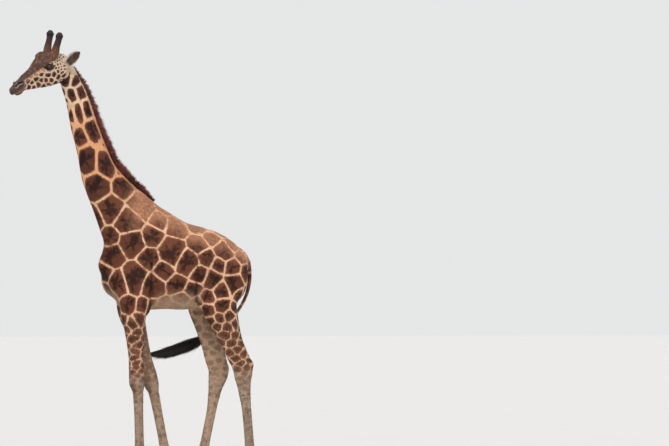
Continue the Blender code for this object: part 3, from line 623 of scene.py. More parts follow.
# Folds and swellings of the body by the plumb line, x then z, and the same on both sides.
BODY_FOLDS = (
    Fold(((-0.325, 2.36), (-0.322, 2.16), (-0.325, 1.98), (-0.32, 1.76)), 0.02, 0.024),
    Fold(((-0.455, 2.36), (-0.47, 2.14), (-0.48, 1.95)), 0.06, -0.01),
    Fold(((0.185, 2.38), (0.14, 2.2), (0.128, 2.03), (0.165, 1.8), (0.27, 1.62)), 0.022, 0.023),
    Fold(((0.255, 2.3), (0.225, 2.1), (0.26, 1.88)), 0.055, -0.008),
    Fold(((-0.64, 2.62), (-0.56, 2.42), (-0.6, 2.2)), 0.03, 0.009),
    Fold(((-0.33, 2.72), (-0.38, 2.52), (-0.47, 2.36)), 0.035, 0.008),
    Fold(((-0.54, 2.02), (-0.48, 1.9), (-0.37, 1.83)), 0.024, 0.008),
    Fold(((0.56, 2.3), (0.52, 2.08), (0.56, 1.86), (0.62, 1.66)), 0.035, 0.007),
    Fold(((0.33, 2.46), (0.42, 2.4), (0.52, 2.36)), 0.045, -0.008),
    Fold(((-1.05, 3.7), (-0.96, 3.35), (-0.85, 3.0), (-0.7, 2.74)), 0.028, 0.007),
    Fold(((-0.96, 3.62), (-0.85, 3.22), (-0.72, 2.95)), 0.04, -0.005),
)
# The folds behind the elbow and in front of the thigh, whose coat is also darkened as painted shade.
SHADED_CREASES = BODY_FOLDS[0], BODY_FOLDS[2]
CHEST, CHEST_REACH, CHEST_DEPTH = (-0.8, 2.17), 0.17, 0.022


def leg_sweep(pair: Pair, side: Side, sides: int = 28) -> Sweep:
    """One leg as a swept form, from its joints and the sections of its pair."""
    joints = np.array(LEG_JOINTS[pair, side])
    rows = []
    for bone, along, *reaches in (*LEG_SECTIONS[pair], *FOOT_SECTIONS):
        place = joints[bone] * (1.0 - along) + joints[bone + 1] * along
        rows.append((*place, *reaches))
    return Sweep(rows, sides=sides)


def ear_sweep(side: Side) -> Sweep:
    """One ear in the head's frame: a plate that curls round its own length."""
    rows = [(*on_side(row, side), *row[3:]) for row in EAR]
    return Sweep(rows, across=-side.value * on_side(EAR_ACROSS, side), cup=-0.4, sides=32)


def joint_lobe(pair: Pair, side: Side) -> Lobe:
    """The elbow of a foreleg, or the point of a hind leg's hock."""
    joint, (offset, radii) = (1, ELBOW) if pair is Pair.FORE else (2, HOCK_POINT)
    return Lobe(np.add(LEG_JOINTS[pair, side][joint], offset), radii)


@dataclass
class Flesh:
    """The skin of the whole animal as one surface, made in zones of their own fineness."""

    body_voxel: float = 0.0162
    leg_voxel: float = 0.0105
    head_voxel: float = 0.0058
    rounds: int = 3
    body_hollows: int = 40
    leg_hollows: int = 6
    head_hollows: int = 14
    tail_sides: int = 20
    coat_depth: float = 0.007
    face_depth: float = 0.0035
    shin_depth: float = 0.0045
    knee_plane: float = 0.87
    neck_plane: tuple = ((-1.032, 0.0, 3.82), (-0.322, 0.0, 0.947))
    seam: float = 0.004
    seam_rounds: int = 8
    seam_reach: float = 0.03
    soft_rounds: int = 16
    trunk_rounds: int = 14
    chest_rounds: int = 6
    front_rounds: int = 50

    def body(self) -> Mesh:
        """Trunk, neck and upper legs, open at the knees and below the head."""
        forms = [Sweep(TRUNK, plumb=True, sides=48), Sweep(NECK, sides=40)]
        forms += [lobe.on(side) for lobe in MUSCLES for side in Side]
        forms += [joint_lobe(pair, side) for pair, side in LEG_JOINTS]
        forms += [leg_sweep(pair, side) for pair, side in LEG_JOINTS]
        mesh = gathered([form.arrays() for form in forms], "body")
        mesh = melted(mesh, self.body_voxel, self.rounds, self.body_hollows)
        x, _, z = points_of(mesh).T
        belly = smooth(-0.98, -0.82, x) * smooth(1.7, 1.9, z) * smooth(2.75, 2.55, z)
        belly = belly * (0.6 + 0.4 * smooth(-0.6, -0.74, x))
        mesh = eased(mesh, belly, self.trunk_rounds)
        x, _, z = points_of(mesh).T
        chest = smooth(-0.52, -0.7, x) * smooth(1.75, 1.95, z) * smooth(3.0, 2.65, z)
        mesh = eased(mesh, chest, self.front_rounds)
        for _ in range(self.chest_rounds):
            relax(mesh, 0.9, 0.25)
        point, normal = np.array(self.neck_plane)
        mesh = halved(mesh, point - self.seam * normal, normal)
        return halved(mesh, (0.0, 0.0, self.knee_plane + self.seam), (0.0, 0.0, -1.0))

    def shin(self, pair: Pair, side: Side) -> Mesh:
        """One leg from below its knee or hock to its coronet, open at the top."""
        forms = [leg_sweep(pair, side, 36)]
        if pair is Pair.HIND:
            forms.append(joint_lobe(pair, side))
        mesh = gathered([form.arrays() for form in forms], "shin")
        mesh = melted(mesh, self.leg_voxel, self.rounds, self.leg_hollows)
        mesh = halved(mesh, (0.0, 0.0, self.knee_plane - self.seam), (0.0, 0.0, 1.0))
        slope = (HOOF_HEIGHT - HOOF_HEEL_HEIGHT) / CORONET_LENGTH
        coronet = LEG_JOINTS[pair, side][4]
        height = (HOOF_HEIGHT + HOOF_HEEL_HEIGHT) / 2.0 - 2.0 * self.seam
        mesh = halved(mesh, (coronet[0] + CORONET_FORWARD, coronet[1], height), (-slope, 0.0, -1.0))
        with edited(mesh) as bm:
            middle = self.knee_plane / 2.0
            rim = [edge for edge in bm.edges if edge.is_boundary and edge.verts[0].co.z < middle]
            bmesh.ops.triangulate(bm, faces=bmesh.ops.holes_fill(bm, edges=rim, sides=0)["faces"])
        return mesh

    def head(self) -> Mesh:
        """Head, ears, horn bases and the top of the neck, open below."""
        forms = [Sweep(SKULL, plumb=True, sides=44), Sweep(MANDIBLE, plumb=True)]
        forms += [lobe.on(side) for lobe in HEAD_LOBES for side in Side
                  if lobe.centre[1] or side is Side.LEFT]
        forms += [Sweep([(*on_side(row, side), *row[3:]) for row in OSSICONE[3:]]) for side in Side]
        forms = [placed(form.arrays(), head_matrix()) for form in forms]
        forms += [Sweep(NECK[:5], sides=40).arrays(), THROAT.arrays()]
        mesh = melted(gathered(forms, "head"), self.head_voxel, self.rounds, self.head_hollows)
        mesh = eased(mesh, self.softness(points_of(mesh), HEAD_SOFT), self.soft_rounds)
        for side in Side:
            mesh = grown(mesh, placed(ear_sweep(side).arrays(), head_matrix()))
        mesh = eased(mesh, self.softness(points_of(mesh), EAR_SOFT), self.soft_rounds // 3)
        point, normal = np.array(self.neck_plane)
        return halved(mesh, point + self.seam * normal, -normal)

    def softness(self, points: Array, places: Rows) -> Array:
        """How near points are to places of the head that are eased, as a share of their radii."""
        local = in_head(points)
        local[:, 1] = np.abs(local[:, 1])
        share = np.zeros(len(points))
        for x, y, z, radius in places:
            reach = np.linalg.norm(local - (x, y, z), axis=1)
            share = np.maximum(share, smooth(radius, 0.6 * radius, reach))
        return share

    def whole(self) -> Mesh:
        """Every zone joined across its seams as one closed surface."""
        mesh, bm = bpy.data.meshes.new("skin"), bmesh.new()
        for zone in [self.body(), self.head(), *(self.shin(pair, side) for pair, side in LEG_JOINTS)]:
            bm.from_mesh(zone)
        for group in self.seams([edge for edge in bm.edges if edge.is_boundary]):
            bmesh.ops.bridge_loops(bm, edges=group)
        bmesh.ops.recalc_face_normals(bm, faces=bm.faces)
        bm.to_mesh(mesh)
        bm.free()
        return self.with_tail(mesh)

    def depth(self, points: Array) -> Array:
        """How deep the skin lies under the tips of the coat."""
        x, z = points[:, 0], points[:, 2]
        face = smooth(3.95, 4.15, z) * smooth(-0.98, -1.08, x)
        shin = smooth(1.15, 0.85, z)
        dock = (points[:, 1] > 0.02) & (x > 0.42) & (z > 1.4) & (z < 2.24)
        depth = mixed(np.full(len(points), self.coat_depth), (self.face_depth, face), (self.shin_depth, shin))
        return np.where(dock & (path_distance(points, np.array(TAIL)[:, :3])[0] < 0.05), 0.003, depth)

    def relief(self, points: Array, normals: Array) -> Array:
        """How far muscles, folds, ribs and tendons move the skin in, at each point."""
        x, y, z = points.T
        side_view = points[:, [0, 2]]
        outward = smooth(0.25, 0.75, np.abs(normals[:, 1]))
        move = CHEST_DEPTH * bump(np.hypot(x - CHEST[0], z - CHEST[1]), CHEST_REACH)
        body = z > 1.45
        move[body] += folded(side_view[body], BODY_FOLDS) * outward[body]
        for (pair, side), joints in LEG_JOINTS.items():
            joints = np.array(joints)
            mine = (y * side.value > 0.0) & (z < 1.3) & (np.abs(x - joints[2:, 0].mean()) < 0.36)
            # The groove between the cannon bone and the tendon behind it.
            bone = joints[[2, 3]] + np.array((0.018, 0.0, 0.0))
            bone[0] += (bone[1] - bone[0]) * 0.16
            gap, along = path_distance(side_view[mine], bone[:, [0, 2]])
            move[mine] += 0.0055 * bump(gap, 0.01) * within(0.12, 0.86, along) * outward[mine]
            # The swell of the knee or hock, with a crease above it and one below.
            knob = joints[2] + np.array((-0.03 if pair is Pair.FORE else 0.0, 0.0, -0.01))
            spread = np.linalg.norm((points[mine] - knob) / (0.07, 0.09, 0.055), axis=1)
            move[mine] -= 0.007 * bump(spread, 0.75) * smooth(0.3, 0.9, np.abs(normals[mine, 0]))
            for height in (0.035, -0.055):
                ring = np.abs(z[mine] - joints[2][2] - height)
                move[mine] += 0.0022 * bump(ring, 0.014) * smooth(-0.2, 0.5, -normals[mine, 0])
            # The swell above the hoof and the one behind the fetlock.
            move[mine] -= 0.009 * smooth(0.17, 0.11, z[mine])
            fetlock = (points[mine] - joints[3] - (0.05, 0.0, 0.012)) / (0.05, 0.05, 0.035)
            move[mine] -= 0.007 * bump(np.linalg.norm(fetlock, axis=1), 0.8)
        return move

    def finished(self) -> Mesh:
        """The skin in its place: refined on the face, laid under the coat, and carved."""
        mesh = Face().refined(self.whole())
        points, normals = points_of(mesh), normals_of(mesh)
        sunk = self.depth(points) + self.relief(points, normals)
        points = points - normals * sunk[:, None]
        set_points(mesh, points)
        set_points(mesh, Face().carved(points, normals_of(mesh)) + FRAME_SHIFT)
        mesh.shade_smooth()
        return mesh

    def with_tail(self, mesh: Mesh) -> Mesh:
        """The skin with the tail's dock grown out of the rump."""
        mesh = grown(mesh, Sweep(TAIL, sides=self.tail_sides).arrays())
        points = points_of(mesh)
        point, normal = np.array(self.neck_plane)
        off = np.minimum(np.abs((points - point) @ normal), np.abs(points[:, 2] - self.knee_plane))
        return eased(mesh, smooth(self.seam_reach, 0.0, off) * (points[:, 0] > -1.4), self.seam_rounds)

    def seams(self, rims: list) -> list[list]:
        """The open edges in groups, one for each seam: below the head and at each knee."""
        groups = [[edge for edge in rims if edge.verts[0].co.z > 2.0]]
        for joints in LEG_JOINTS.values():
            near = []
            for edge in rims:
                place = edge.verts[0].co
                if place.z < 2.0 and place.y * joints[2][1] > 0.0 and abs(place.x - joints[2][0]) < 0.3:
                    near.append(edge)
            groups.append(near)
        return groups


@dataclass
class Face:
    """The fine forms of the head: lids, nostrils, lips and folds, in the head's own frame."""

    eye_half_turn: float = math.radians(66.0)
    upper_lid: float = math.radians(30.0)
    lower_lid: float = math.radians(27.0)
    lid_radius: float = EYE_RADIUS + 0.0035
    drape: float = 0.01
    lid_crease: float = 0.0022
    behind_radius: float = 0.017
    eye_out: tuple = (-0.22, 0.96, 0.02)
    eye_long: tuple = (0.97, 0.22, 0.1)
    nostril: tuple = ((-0.556, 3.966), (-0.585, 3.958), (-0.61, 3.94), (-0.616, 3.925))
    mouth: tuple = ((-0.622, 3.832), (-0.6, 3.838), (-0.53, 3.872), (-0.47, 3.908), (-0.435, 3.926))
    fine_reach: float = 0.055
    finer_reach: float = 0.04
    lip_reach: float = 0.02

    def eye_axes(self, side: Side) -> tuple[Array, Array, Array, Array]:
        """The eye's centre with the directions out of it, along its opening and up."""
        out, long = unit(on_side(self.eye_out, side)), on_side(self.eye_long, side)
        long = unit(long - out * (long @ out))
        up = np.cross(long, out)
        return on_side(EYE, side), out, long, up * math.copysign(1.0, up[2])

    def opening(self, points: Array, side: Side) -> tuple[Array, Array, Array]:
        """Where points of the head stand by one eye.

        Args:
            points: places in the head's frame.
            side: the eye's side.

        Returns:
            The share of the turn to the opening's rim, which is 1 on the rim, the height above the
            opening's long line as seen from the centre, and the distance from the eye's centre.
        """
        centre, out, long, up = self.eye_axes(side)
        rel = points - centre
        reach = np.linalg.norm(rel, axis=1)
        ray = rel / np.maximum(reach, 1e-9)[:, None]
        turn = np.arccos(np.clip(ray @ out, -1.0, 1.0))
        along, high = ray @ long, ray @ up
        flat = np.maximum(np.hypot(along, high), 1e-9)
        tall = np.where(high > 0.0, self.upper_lid, self.lower_lid)
        rim = 1.0 / np.hypot(along / flat / self.eye_half_turn, high / flat / tall)
        return turn / rim, high, reach

    def refined(self, mesh: Mesh) -> Mesh:
        """The mesh with smaller faces round the eyes, nostrils and mouth."""
        for reach, lips in ((self.fine_reach, self.lip_reach), (self.finer_reach, 0.0)):
            points = in_head(points_of(mesh))
            near = np.zeros(len(points), bool)
            for side in Side:
                near |= np.linalg.norm(points - on_side(EYE, side), axis=1) < reach
            if lips:
                for path in (self.nostril, self.mouth):
                    near |= (path_distance(points[:, [0, 2]], path)[0] < lips) & (points[:, 0] < -0.4)
            with edited(mesh) as bm:
                edges = [edge for edge in bm.edges if near[edge.verts[0].index] and near[edge.verts[1].index]]
                bmesh.ops.subdivide_edges(bm, edges=edges, cuts=1, use_grid_fill=True, smooth=0.6)
                bmesh.ops.triangulate(bm, faces=[face for face in bm.faces if len(face.verts) > 4])
        return mesh

    def carved(self, points: Array, normals: Array) -> Array:
        """Points of the body with the face's fine forms worked into those of the head."""
        local = in_head(points)
        head = (local[:, 0] < 0.0) & (local[:, 2] > 3.78)
        p, n = local[head], turned_to_head(normals)[head]
        side_view = p[:, [0, 2]]
        lateral = smooth(0.2, 0.6, np.abs(n[:, 1]))
        gap, along = path_distance(side_view, self.nostril)
        front = p[:, 0] < -0.5
        slit = 0.01 * bump(gap, 0.0065) * smooth(0.0, 0.15, along) * lateral * front
        rim = 0.0016 * bump(gap - 0.014, 0.009) * lateral * front
        gap, along = path_distance(side_view, self.mouth)
        lips = 0.0065 * bump(gap, 0.0055) * smooth(1.0, 0.8, along) * smooth(-0.425, -0.45, p[:, 0])
        above = np.interp(p[:, 0], *np.array(self.mouth).T) - p[:, 2]
        plump = 0.0035 * bump(gap - 0.016, 0.01) * np.where(above > 0.0, 0.7, 1.0) * (p[:, 0] < -0.45)
        bridge = bump(p[:, 0] + 0.455, 0.075) * smooth(0.1, 0.7, n[:, 2]) * (p[:, 2] > 3.98)
        move = rim - slit + plump - lips - folded(side_view, FACE_FOLDS) * lateral - 0.015 * bridge
        p = p + n * move[:, None]
        for side in Side:
            p = self.lids(p, side)
        out = points.copy()
        out[head] = moved(p, head_matrix())
        return out

    def lids(self, points: Array, side: Side) -> Array:
        """Points of the head drawn over one eyeball as lids, and behind it inside the opening."""
        centre = on_side(EYE, side)
        share, high, reach = self.opening(points, side)
        inside = smooth(1.07, 0.93, share)
        lid = self.lid_radius + 0.0012 * (high > 0.0) * bump(share - 1.2, 0.25)
        over = np.maximum(self.drape - np.abs(reach - lid), 0.0) / self.drape
        draped = np.maximum(reach, lid) + over * over * self.drape * 0.25
        draped -= self.lid_crease * bump(share - 1.75, 0.16) * smooth(0.1, 0.4, np.abs(high))
        radius = draped * (1.0 - inside) + self.behind_radius * inside
        fade = smooth(self.finer_reach, self.finer_reach * 0.7, reach)
        radius = reach + (radius - reach) * fade
        return centre + unit(points - centre) * radius[:, None]


# Folds of the face in its own frame: the path seen from the side, its width and its depth.
FACE_FOLDS = (
    Fold(((-0.3, 4.07), (-0.37, 4.05), (-0.45, 4.01)), 0.014, 0.0025),
    Fold(((-0.25, 4.08), (-0.33, 4.085), (-0.4, 4.065)), 0.016, -0.0025),
    Fold(((-0.24, 4.06), (-0.19, 4.0), (-0.18, 3.94)), 0.014, 0.004),
    Fold(((-0.43, 3.945), (-0.4, 3.965), (-0.36, 3.975)), 0.007, 0.003),
    Fold(((-0.455, 3.975), (-0.48, 3.95), (-0.5, 3.925)), 0.007, 0.0022),
    Fold(((-0.48, 3.995), (-0.51, 3.965), (-0.53, 3.935)), 0.006, 0.0018),
    Fold(((-0.23, 4.18), (-0.3, 4.19), (-0.35, 4.165)), 0.008, 0.002),
    Fold(((-0.32, 4.2), (-0.43, 4.13), (-0.52, 4.04)), 0.014, 0.003),
)


# ---- Markings ----

class Region(IntEnum):
    """A part of the body with its own chart for the coat's map."""

    TRUNK = 0
    NECK = 1
    HEAD = 2
    FORE_LEFT = 3
    FORE_RIGHT = 4
    HIND_LEFT = 5
    HIND_RIGHT = 6
    TAIL = 7


LEG_REGIONS = Region.FORE_LEFT, Region.FORE_RIGHT, Region.HIND_LEFT, Region.HIND_RIGHT


@dataclass(frozen=True)
class Tints:
    """The named colours of the coat."""

    cream: Colour = linear(226, 205, 176)
    peach: Colour = linear(216, 160, 119)
    line: Colour = linear(222, 180, 148)
    # Painted highlight: the lines on top of the back, lighter where the light falls.
    lit_back_line: Colour = linear(232, 180, 142)
    # The underside's own paler colour, darkened and warmed as painted shade with warm bounce light.
    belly: Colour = linear(202, 172, 144)
    shin: Colour = linear(156, 137, 119)
    shin_low: Colour = linear(136, 119, 104)
    patch: Colour = linear(103, 60, 43)
    neck_patch: Colour = linear(94, 54, 42)
    # The underside's own paler patches, and the same colour as a painted highlight on the patches on top of
    # the back.
    pale_belly_and_lit_back_patch: Colour = linear(188, 132, 100)
    leg_patch: Colour = linear(98, 62, 45)
    face_white: Colour = linear(214, 191, 167)
    face_brown: Colour = linear(82, 56, 48)
    nose_brown: Colour = linear(76, 55, 49)
    muzzle: Colour = linear(70, 56, 54)
    lip_tan: Colour = linear(140, 92, 68)
    stripe: Colour = linear(200, 146, 116)
    # The dark skin of the lids, and painted shade in the nostril slits.
    lid: Colour = linear(26, 20, 20)
    # Painted highlight on the upper lids.
    lid_highlight: Colour = linear(112, 86, 72)
    # The inner legs' own paler colour, warmed as painted bounce light from the ground.
    inner_leg_and_warm_bounce: Colour = linear(170, 145, 122)
    ear_inner: Colour = linear(70, 56, 52)
    ear_rim: Colour = linear(206, 192, 180)
    horn_red: Colour = linear(112, 72, 58)


@dataclass
class Charts:
    """Where each point of the skin lies along and round the form that it belongs to."""

    points: Array
    blend: float = 0.22
    fall: float = 0.18
    turn: Array = field(init=False)
    along: Array = field(init=False)
    label: Array = field(init=False)
    lie: Array = field(init=False)

    def __post_init__(self) -> None:
        """Fill in the charts for the points, which are by the plumb line."""
        points = self.points
        forms = {Region.TRUNK: Sweep(TRUNK, plumb=True), Region.NECK: Sweep(NECK), Region.TAIL: Sweep(TAIL)}
        forms.update(zip(LEG_REGIONS, (leg_sweep(pair, side) for pair, side in LEG_JOINTS)))
        best = np.full(len(points), np.inf)
        self.turn, self.along = np.zeros(len(points)), np.zeros(len(points))
        self.label = np.zeros(len(points), int)
        flow = np.zeros((len(points), 3))
        for region, form in forms.items():
            rows, tangents, up, side = form.frames()
            tree = KDTree(len(rows))
            for k, row in enumerate(rows):
                tree.insert(row[:3], k)
            tree.balance()
            near = np.array([tree.find(point)[1] for point in points])
            rel = points - rows[near, :3]
            high, wide, off = (np.einsum("ij,ij->i", rel, way[near]) for way in (up, side, tangents))
            reach = np.where(high > 0.0, rows[near, 4], rows[near, 5])
            gap = np.abs(np.hypot(wide / rows[near, 3], high / reach) - 1.0) + np.abs(off) * 3.0
            flow += bump(gap, self.blend)[:, None] * tangents[near]
            mine = gap < best
            best = np.where(mine, gap, best)
            self.turn = np.where(mine, np.arctan2(wide, high), self.turn)
            self.along = np.where(mine, (near + 0.5) / len(rows), self.along)
            self.label = np.where(mine, region, self.label)
        flow += np.array((0.0, 0.0, -self.fall))
        local = in_head(points)
        point, normal = Flesh().neck_plane
        head = ((points - point) @ np.array(normal) > 0.05) & (local[:, 0] < 0.05)
        self.label = np.where(head, Region.HEAD, self.label)
        self.turn = np.where(head, np.arctan2(local[:, 1], local[:, 2] - 4.04), self.turn)
        self.along = np.where(head, np.clip((local[:, 0] + 0.7) / 0.75, 0.0, 1.0), self.along)
        back = head_matrix()[:3, :3] @ np.array((0.94, 0.0, 0.1))
        self.lie = unit(np.where(head[:, None], back, flow))


@dataclass
class Paint:
    """What the coat is painted from at each point of the skin.

    The ground's and the patches' colours, half the width of the lines, how strongly the patches show,
    how far out a patch may reach in units of its size, and how dark its heart is.
    """

    ground: Array
    patch: Array
    line: Array
    shown: Array
    limit: Array
    heart: Array


# The reach of a patch that only its neighbours bound.
WHOLE_PATCH = 2.2


@dataclass
class Markings:
    """Patches round scattered centres, with the colours of coat and ground at each point."""

    tints: Tints = field(default_factory=Tints)
    seed: int = 11
    neck_rows: tuple = (
        (3.995, 0.115, (46.0, 98.0)), (3.85, 0.145, (4.0, 56.0, 112.0)), (3.68, 0.178, (22.0, 66.0, 112.0)),
        (3.466, 0.236, (36.0, 108.0)), (3.235, 0.255, (46.0, 118.0)), (2.96, 0.27, (58.0, 130.0)),
    )
    neck_foot: float = 2.86
    throw_step: int = 3
    batch: int = 8000

    def pitch(self, points: Array) -> Array:
        """The spacing of the patches at each point by the plumb line."""
        x, z = points[:, 0], points[:, 2]
        body = np.interp(x, (-0.8, -0.45, 0.0, 0.5, 0.8), (0.225, 0.265, 0.205, 0.19, 0.165))
        body = body * np.interp(z, (1.7, 1.95, 2.3, 2.9), (0.72, 0.92, 1.0, 0.95))
        leg = np.interp(z, (0.85, 1.1, 1.4, 1.75), (0.058, 0.07, 0.092, 0.135))
        return mixed(body, (leg, smooth(1.95, 1.6, z)))

    def scatter(self, points: Array, spacing: Array, rng: np.random.Generator, stretch: Array) -> Array:
        """Pick points at random that all keep their spacing from each other.

        Args:
            points: the places to pick from.
            spacing: the spacing at each place.
            rng: the source of chance.
            stretch: how much each axis counts.

        Returns:
            The indices of the picked points.
        """
        free = np.ones(len(points), bool)
        picked = []
        shaped = points * stretch
        for index in rng.permutation(len(points)):
            if free[index]:
                picked.append(index)
                free &= np.linalg.norm(shaped - shaped[index], axis=1) > spacing[index] * 0.8
        return np.array(picked)

    def neck_centres(self, rng: np.random.Generator) -> tuple[Array, Array]:
        """The centres of the neck's patches in staggered columns, with their sizes."""
        rows, tangents, up, side = Sweep(NECK).frames()
        centres, sizes = [], []
        for side_of in Side:
            for height, tall, turns in self.neck_rows:
                for column, turn in enumerate(turns):
                    level = height + rng.uniform(-0.02, 0.02) + 0.35 * tall * (side_of is Side.RIGHT)
                    level -= 0.4 * tall * (column % 2) * (len(turns) == 2) * (height < 3.4)
                    k = int(np.argmin(np.abs(rows[:, 2] - level)))
                    angle = math.radians(turn + rng.uniform(-6.0, 6.0))
                    half, above, below = rows[k, 3:]
                    out = -math.cos(angle)
                    reach = above if out > 0.0 else below
                    across = side[k] * side_of.value * math.sin(angle) * half
                    girth = math.pi * (half + 0.5 * (above + below))
                    wide = girth * {2: 0.235, 3: 0.2}[len(turns)]
                    centres.append((*(rows[k, :3] + up[k] * out * reach + across), *tangents[k], tall / wide))
                    sizes.append(wide / 2.0 * rng.uniform(0.9, 1.12))
        return np.array(centres), np.array(sizes)

    def centres(self, points: Array, label: Array) -> tuple[Array, Array, Array, Array]:
        """Every patch's centre, its size, the direction it is stretched along and by how much."""
        rng = np.random.default_rng(self.seed)
        neck, neck_sizes = self.neck_centres(rng)
        sample = points[::self.throw_step]
        kind = label[::self.throw_step]
        spacing = self.pitch(sample)
        leg = sample[:, 2] < 1.55
        gap_to_neck = np.min(np.linalg.norm(sample[:, None, :] - neck[None, :, :3], axis=2) / (
            neck_sizes + 0.5 * spacing[:, None]), axis=1)
        trunk = (kind != Region.HEAD) & (gap_to_neck > 0.95) & ~leg & (
            (kind != Region.NECK) | (sample[:, 2] < self.neck_foot + 0.25))
        found = [sample[trunk][self.scatter(sample[trunk], spacing[trunk], rng, np.ones(3))]]
        found.append(sample[leg][self.scatter(sample[leg], spacing[leg], rng, np.array((0.8, 0.8, 1.25)))])
        head = (kind == Region.HEAD) & (in_head(sample)[:, 0] < -0.105)
        forwards, _, high = in_head(sample[head]).T
        head_spacing = 0.058 - 0.026 * smooth(-0.3, -0.22, forwards) * smooth(4.05, 4.12, high)
        picked = self.scatter(sample[head], head_spacing, rng, np.ones(3))
        found.append(sample[head][picked])
        places = [neck[:, :3], *found]
        sizes = [neck_sizes] + [self.pitch(group) / 2.0 for group in found[:2]] + [head_spacing[picked] / 2.0]
        sizes = [size * rng.uniform(0.84, 1.18, len(size)) for size in sizes]
        axes = [neck[:, 3:6], *(np.tile((0.0, 0.0, 1.0), (len(group), 1)) for group in found)]
        ratios = [neck[:, 6], np.ones(len(found[0])), np.full(len(found[1]), 0.72), np.ones(len(found[2]))]
        return tuple(np.concatenate(part) for part in (places, sizes, axes, ratios))

    def nearest(self, points: Array, label: Array) -> tuple[Array, ...]:
        """The distance to the patch's edge, the share of the way out in it, its chance, its size, and
        the way out with the chance added, by which its heart gets arms."""
        places, sizes, axes, ratios = self.centres(points, label)
        LOG.info("patches: %d", len(places))
        chance = np.random.default_rng(self.seed + 1).uniform(size=len(places))
        edge, share, tone, reach = (np.empty(len(points)) for _ in range(4))
        spoke = np.empty((len(points), 3))
        for start in range(0, len(points), self.batch):
            part = slice(start, start + self.batch)
            rel = points[part, None, :] - places[None]
            run = np.einsum("pij,ij->pi", rel, axes)
            square = np.einsum("pij,pij->pi", rel, rel) + run ** 2 * (1.0 / ratios ** 2 - 1.0)
            gap = np.sqrt(square) / sizes
            first, second = np.argpartition(gap, 1, axis=1)[:, :2].T
            lines = np.arange(len(first))
            one, two = gap[lines, first], gap[lines, second]
            edge[part] = (two - one) / (1.0 / sizes[first] + 1.0 / sizes[second])
            share[part] = one
            tone[part] = chance[first]
            reach[part] = sizes[first]
            spoke[part] = unit(rel[lines, first]) + 30.0 * chance[first][:, None]
        return edge, share, tone, reach, spoke

    def bare(self, points: Array, label: Array) -> Array:
        """Where the skin shows through: lips, nostrils and the rims of the lids."""
        local = in_head(points)
        head = label == Region.HEAD
        bare = 0.75 * smooth(-0.57, -0.62, local[:, 0] + 0.2 * (local[:, 2] - 3.9))
        for side in Side:
            turn, _, reach = Face().opening(local, side)
            bare = np.maximum(bare, smooth(1.7, 1.2, turn) * (reach < 0.045))
        return bare * head

    def dress(self, mesh: Mesh) -> None:
        """Give the skin every number and colour that its coat is painted from."""
        points = in_plumb(points_of(mesh))
        charts = Charts(points)
        label = charts.label
        edge, share, tone, reach, spoke = self.nearest(points, label)
        paint = self.paint(points, normals_of(mesh), charts)
        store(mesh, heart=paint.heart, edge=edge - paint.line, share=share / paint.limit,
              core=share / WHOLE_PATCH, tone=tone, shown=paint.shown, ground=paint.ground, patch=paint.patch,
              root=points + FRAME_SHIFT, reach=reach, spoke=spoke, bare=self.bare(points, label),
              lie=charts.lie, label=label.astype(float))
        self.unwrap(mesh, charts)

    def paint(self, points: Array, normals: Array, charts: Charts) -> Paint:
        """The colours and sizes of the markings, with painted shade and painted highlights worked into the
        colours.

        Args:
            points: places by the plumb line.
            normals: the skin's directions there.
            charts: where the points lie on their forms.

        Returns:
            What the coat is painted from.
        """
        t = self.tints
        x, y, z = points.T
        crest = np.interp(x, *np.array([(row[0], row[2] + row[4]) for row in TRUNK]).T)
        # The top of the back is painted lighter as a painted highlight: paler lines and patches, with fainter
        # hearts.
        back = smooth(0.3, 0.06, crest - z) * smooth(2.1, 2.25, z) * smooth(-0.6, -0.42, x)
        high_neck = smooth(2.7, 3.1, z) * (x < -0.45)
        under = smooth(-0.35, -0.9, normals[:, 2]) * smooth(1.6, 1.75, z) * smooth(2.2, 1.95, z)
        leg = smooth(1.75, 1.45, z)
        hind = x > 0.1
        inner = smooth(0.15, 0.55, -normals[:, 1] * np.sign(y)) * smooth(1.85, 1.6, z)
        # The underside and upper legs take the belly colour, which carries painted shade and warm bounce
        # light on top of the underside's own paler tone.
        ground = mixed(np.tile(t.line, (len(x), 1)), (t.lit_back_line, back * 0.85), (t.peach, high_neck),
                       (t.cream, smooth(3.45, 4.0, z)), (t.belly, under), (t.belly, leg * 0.7),
                       (t.shin, smooth(1.25, 0.98, z)), (t.shin_low, smooth(0.8, 0.2, z)),
                       # The inner sides of the legs carry painted warm bounce light on their own paler
                       # colour.
                       (t.inner_leg_and_warm_bounce, inner * 0.75))
        patch = mixed(np.tile(t.patch, (len(x), 1)), (t.pale_belly_and_lit_back_patch, back * 0.9), (t.neck_patch, high_neck),
                      (t.pale_belly_and_lit_back_patch, under * 0.7), (t.leg_patch, leg))
        line = 0.0062 + 0.0035 * high_neck - 0.002 * leg + 0.005 * inner * hind
        floor_of_spots = np.where(hind, 0.96, 0.9)
        shown = 0.6 * smooth(0.0, 0.22, z - floor_of_spots) + 0.4 * smooth(0.45, 0.85, z)
        shown *= (1.0 - inner * np.where(hind, 0.5, 0.4)) * (1.0 - 0.85 * under)
        beside = np.abs(charts.turn) - np.interp(z, (3.0, 3.7), (0.3, 0.56))
        on_neck = (charts.label == Region.NECK) * smooth(2.85, 3.1, z)
        shown *= 1.0 - smooth(0.06, -0.06, beside) * on_neck
        round_neck = smooth(2.85, 3.12, z) * smooth(3.68, 3.55, z) * (x < -0.45)
        limit = mixed(np.full(len(x), WHOLE_PATCH), (np.interp(z, (3.18, 3.3), (1.26, 1.5)), round_neck),
                      (1.1, smooth(1.2, 1.0, z)))
        limit = mixed(limit - 0.22 * smooth(1.0, 0.75, z), (1.05, back), (1.12, inner * hind),
                      (1.4, smooth(3.65, 3.78, z)))
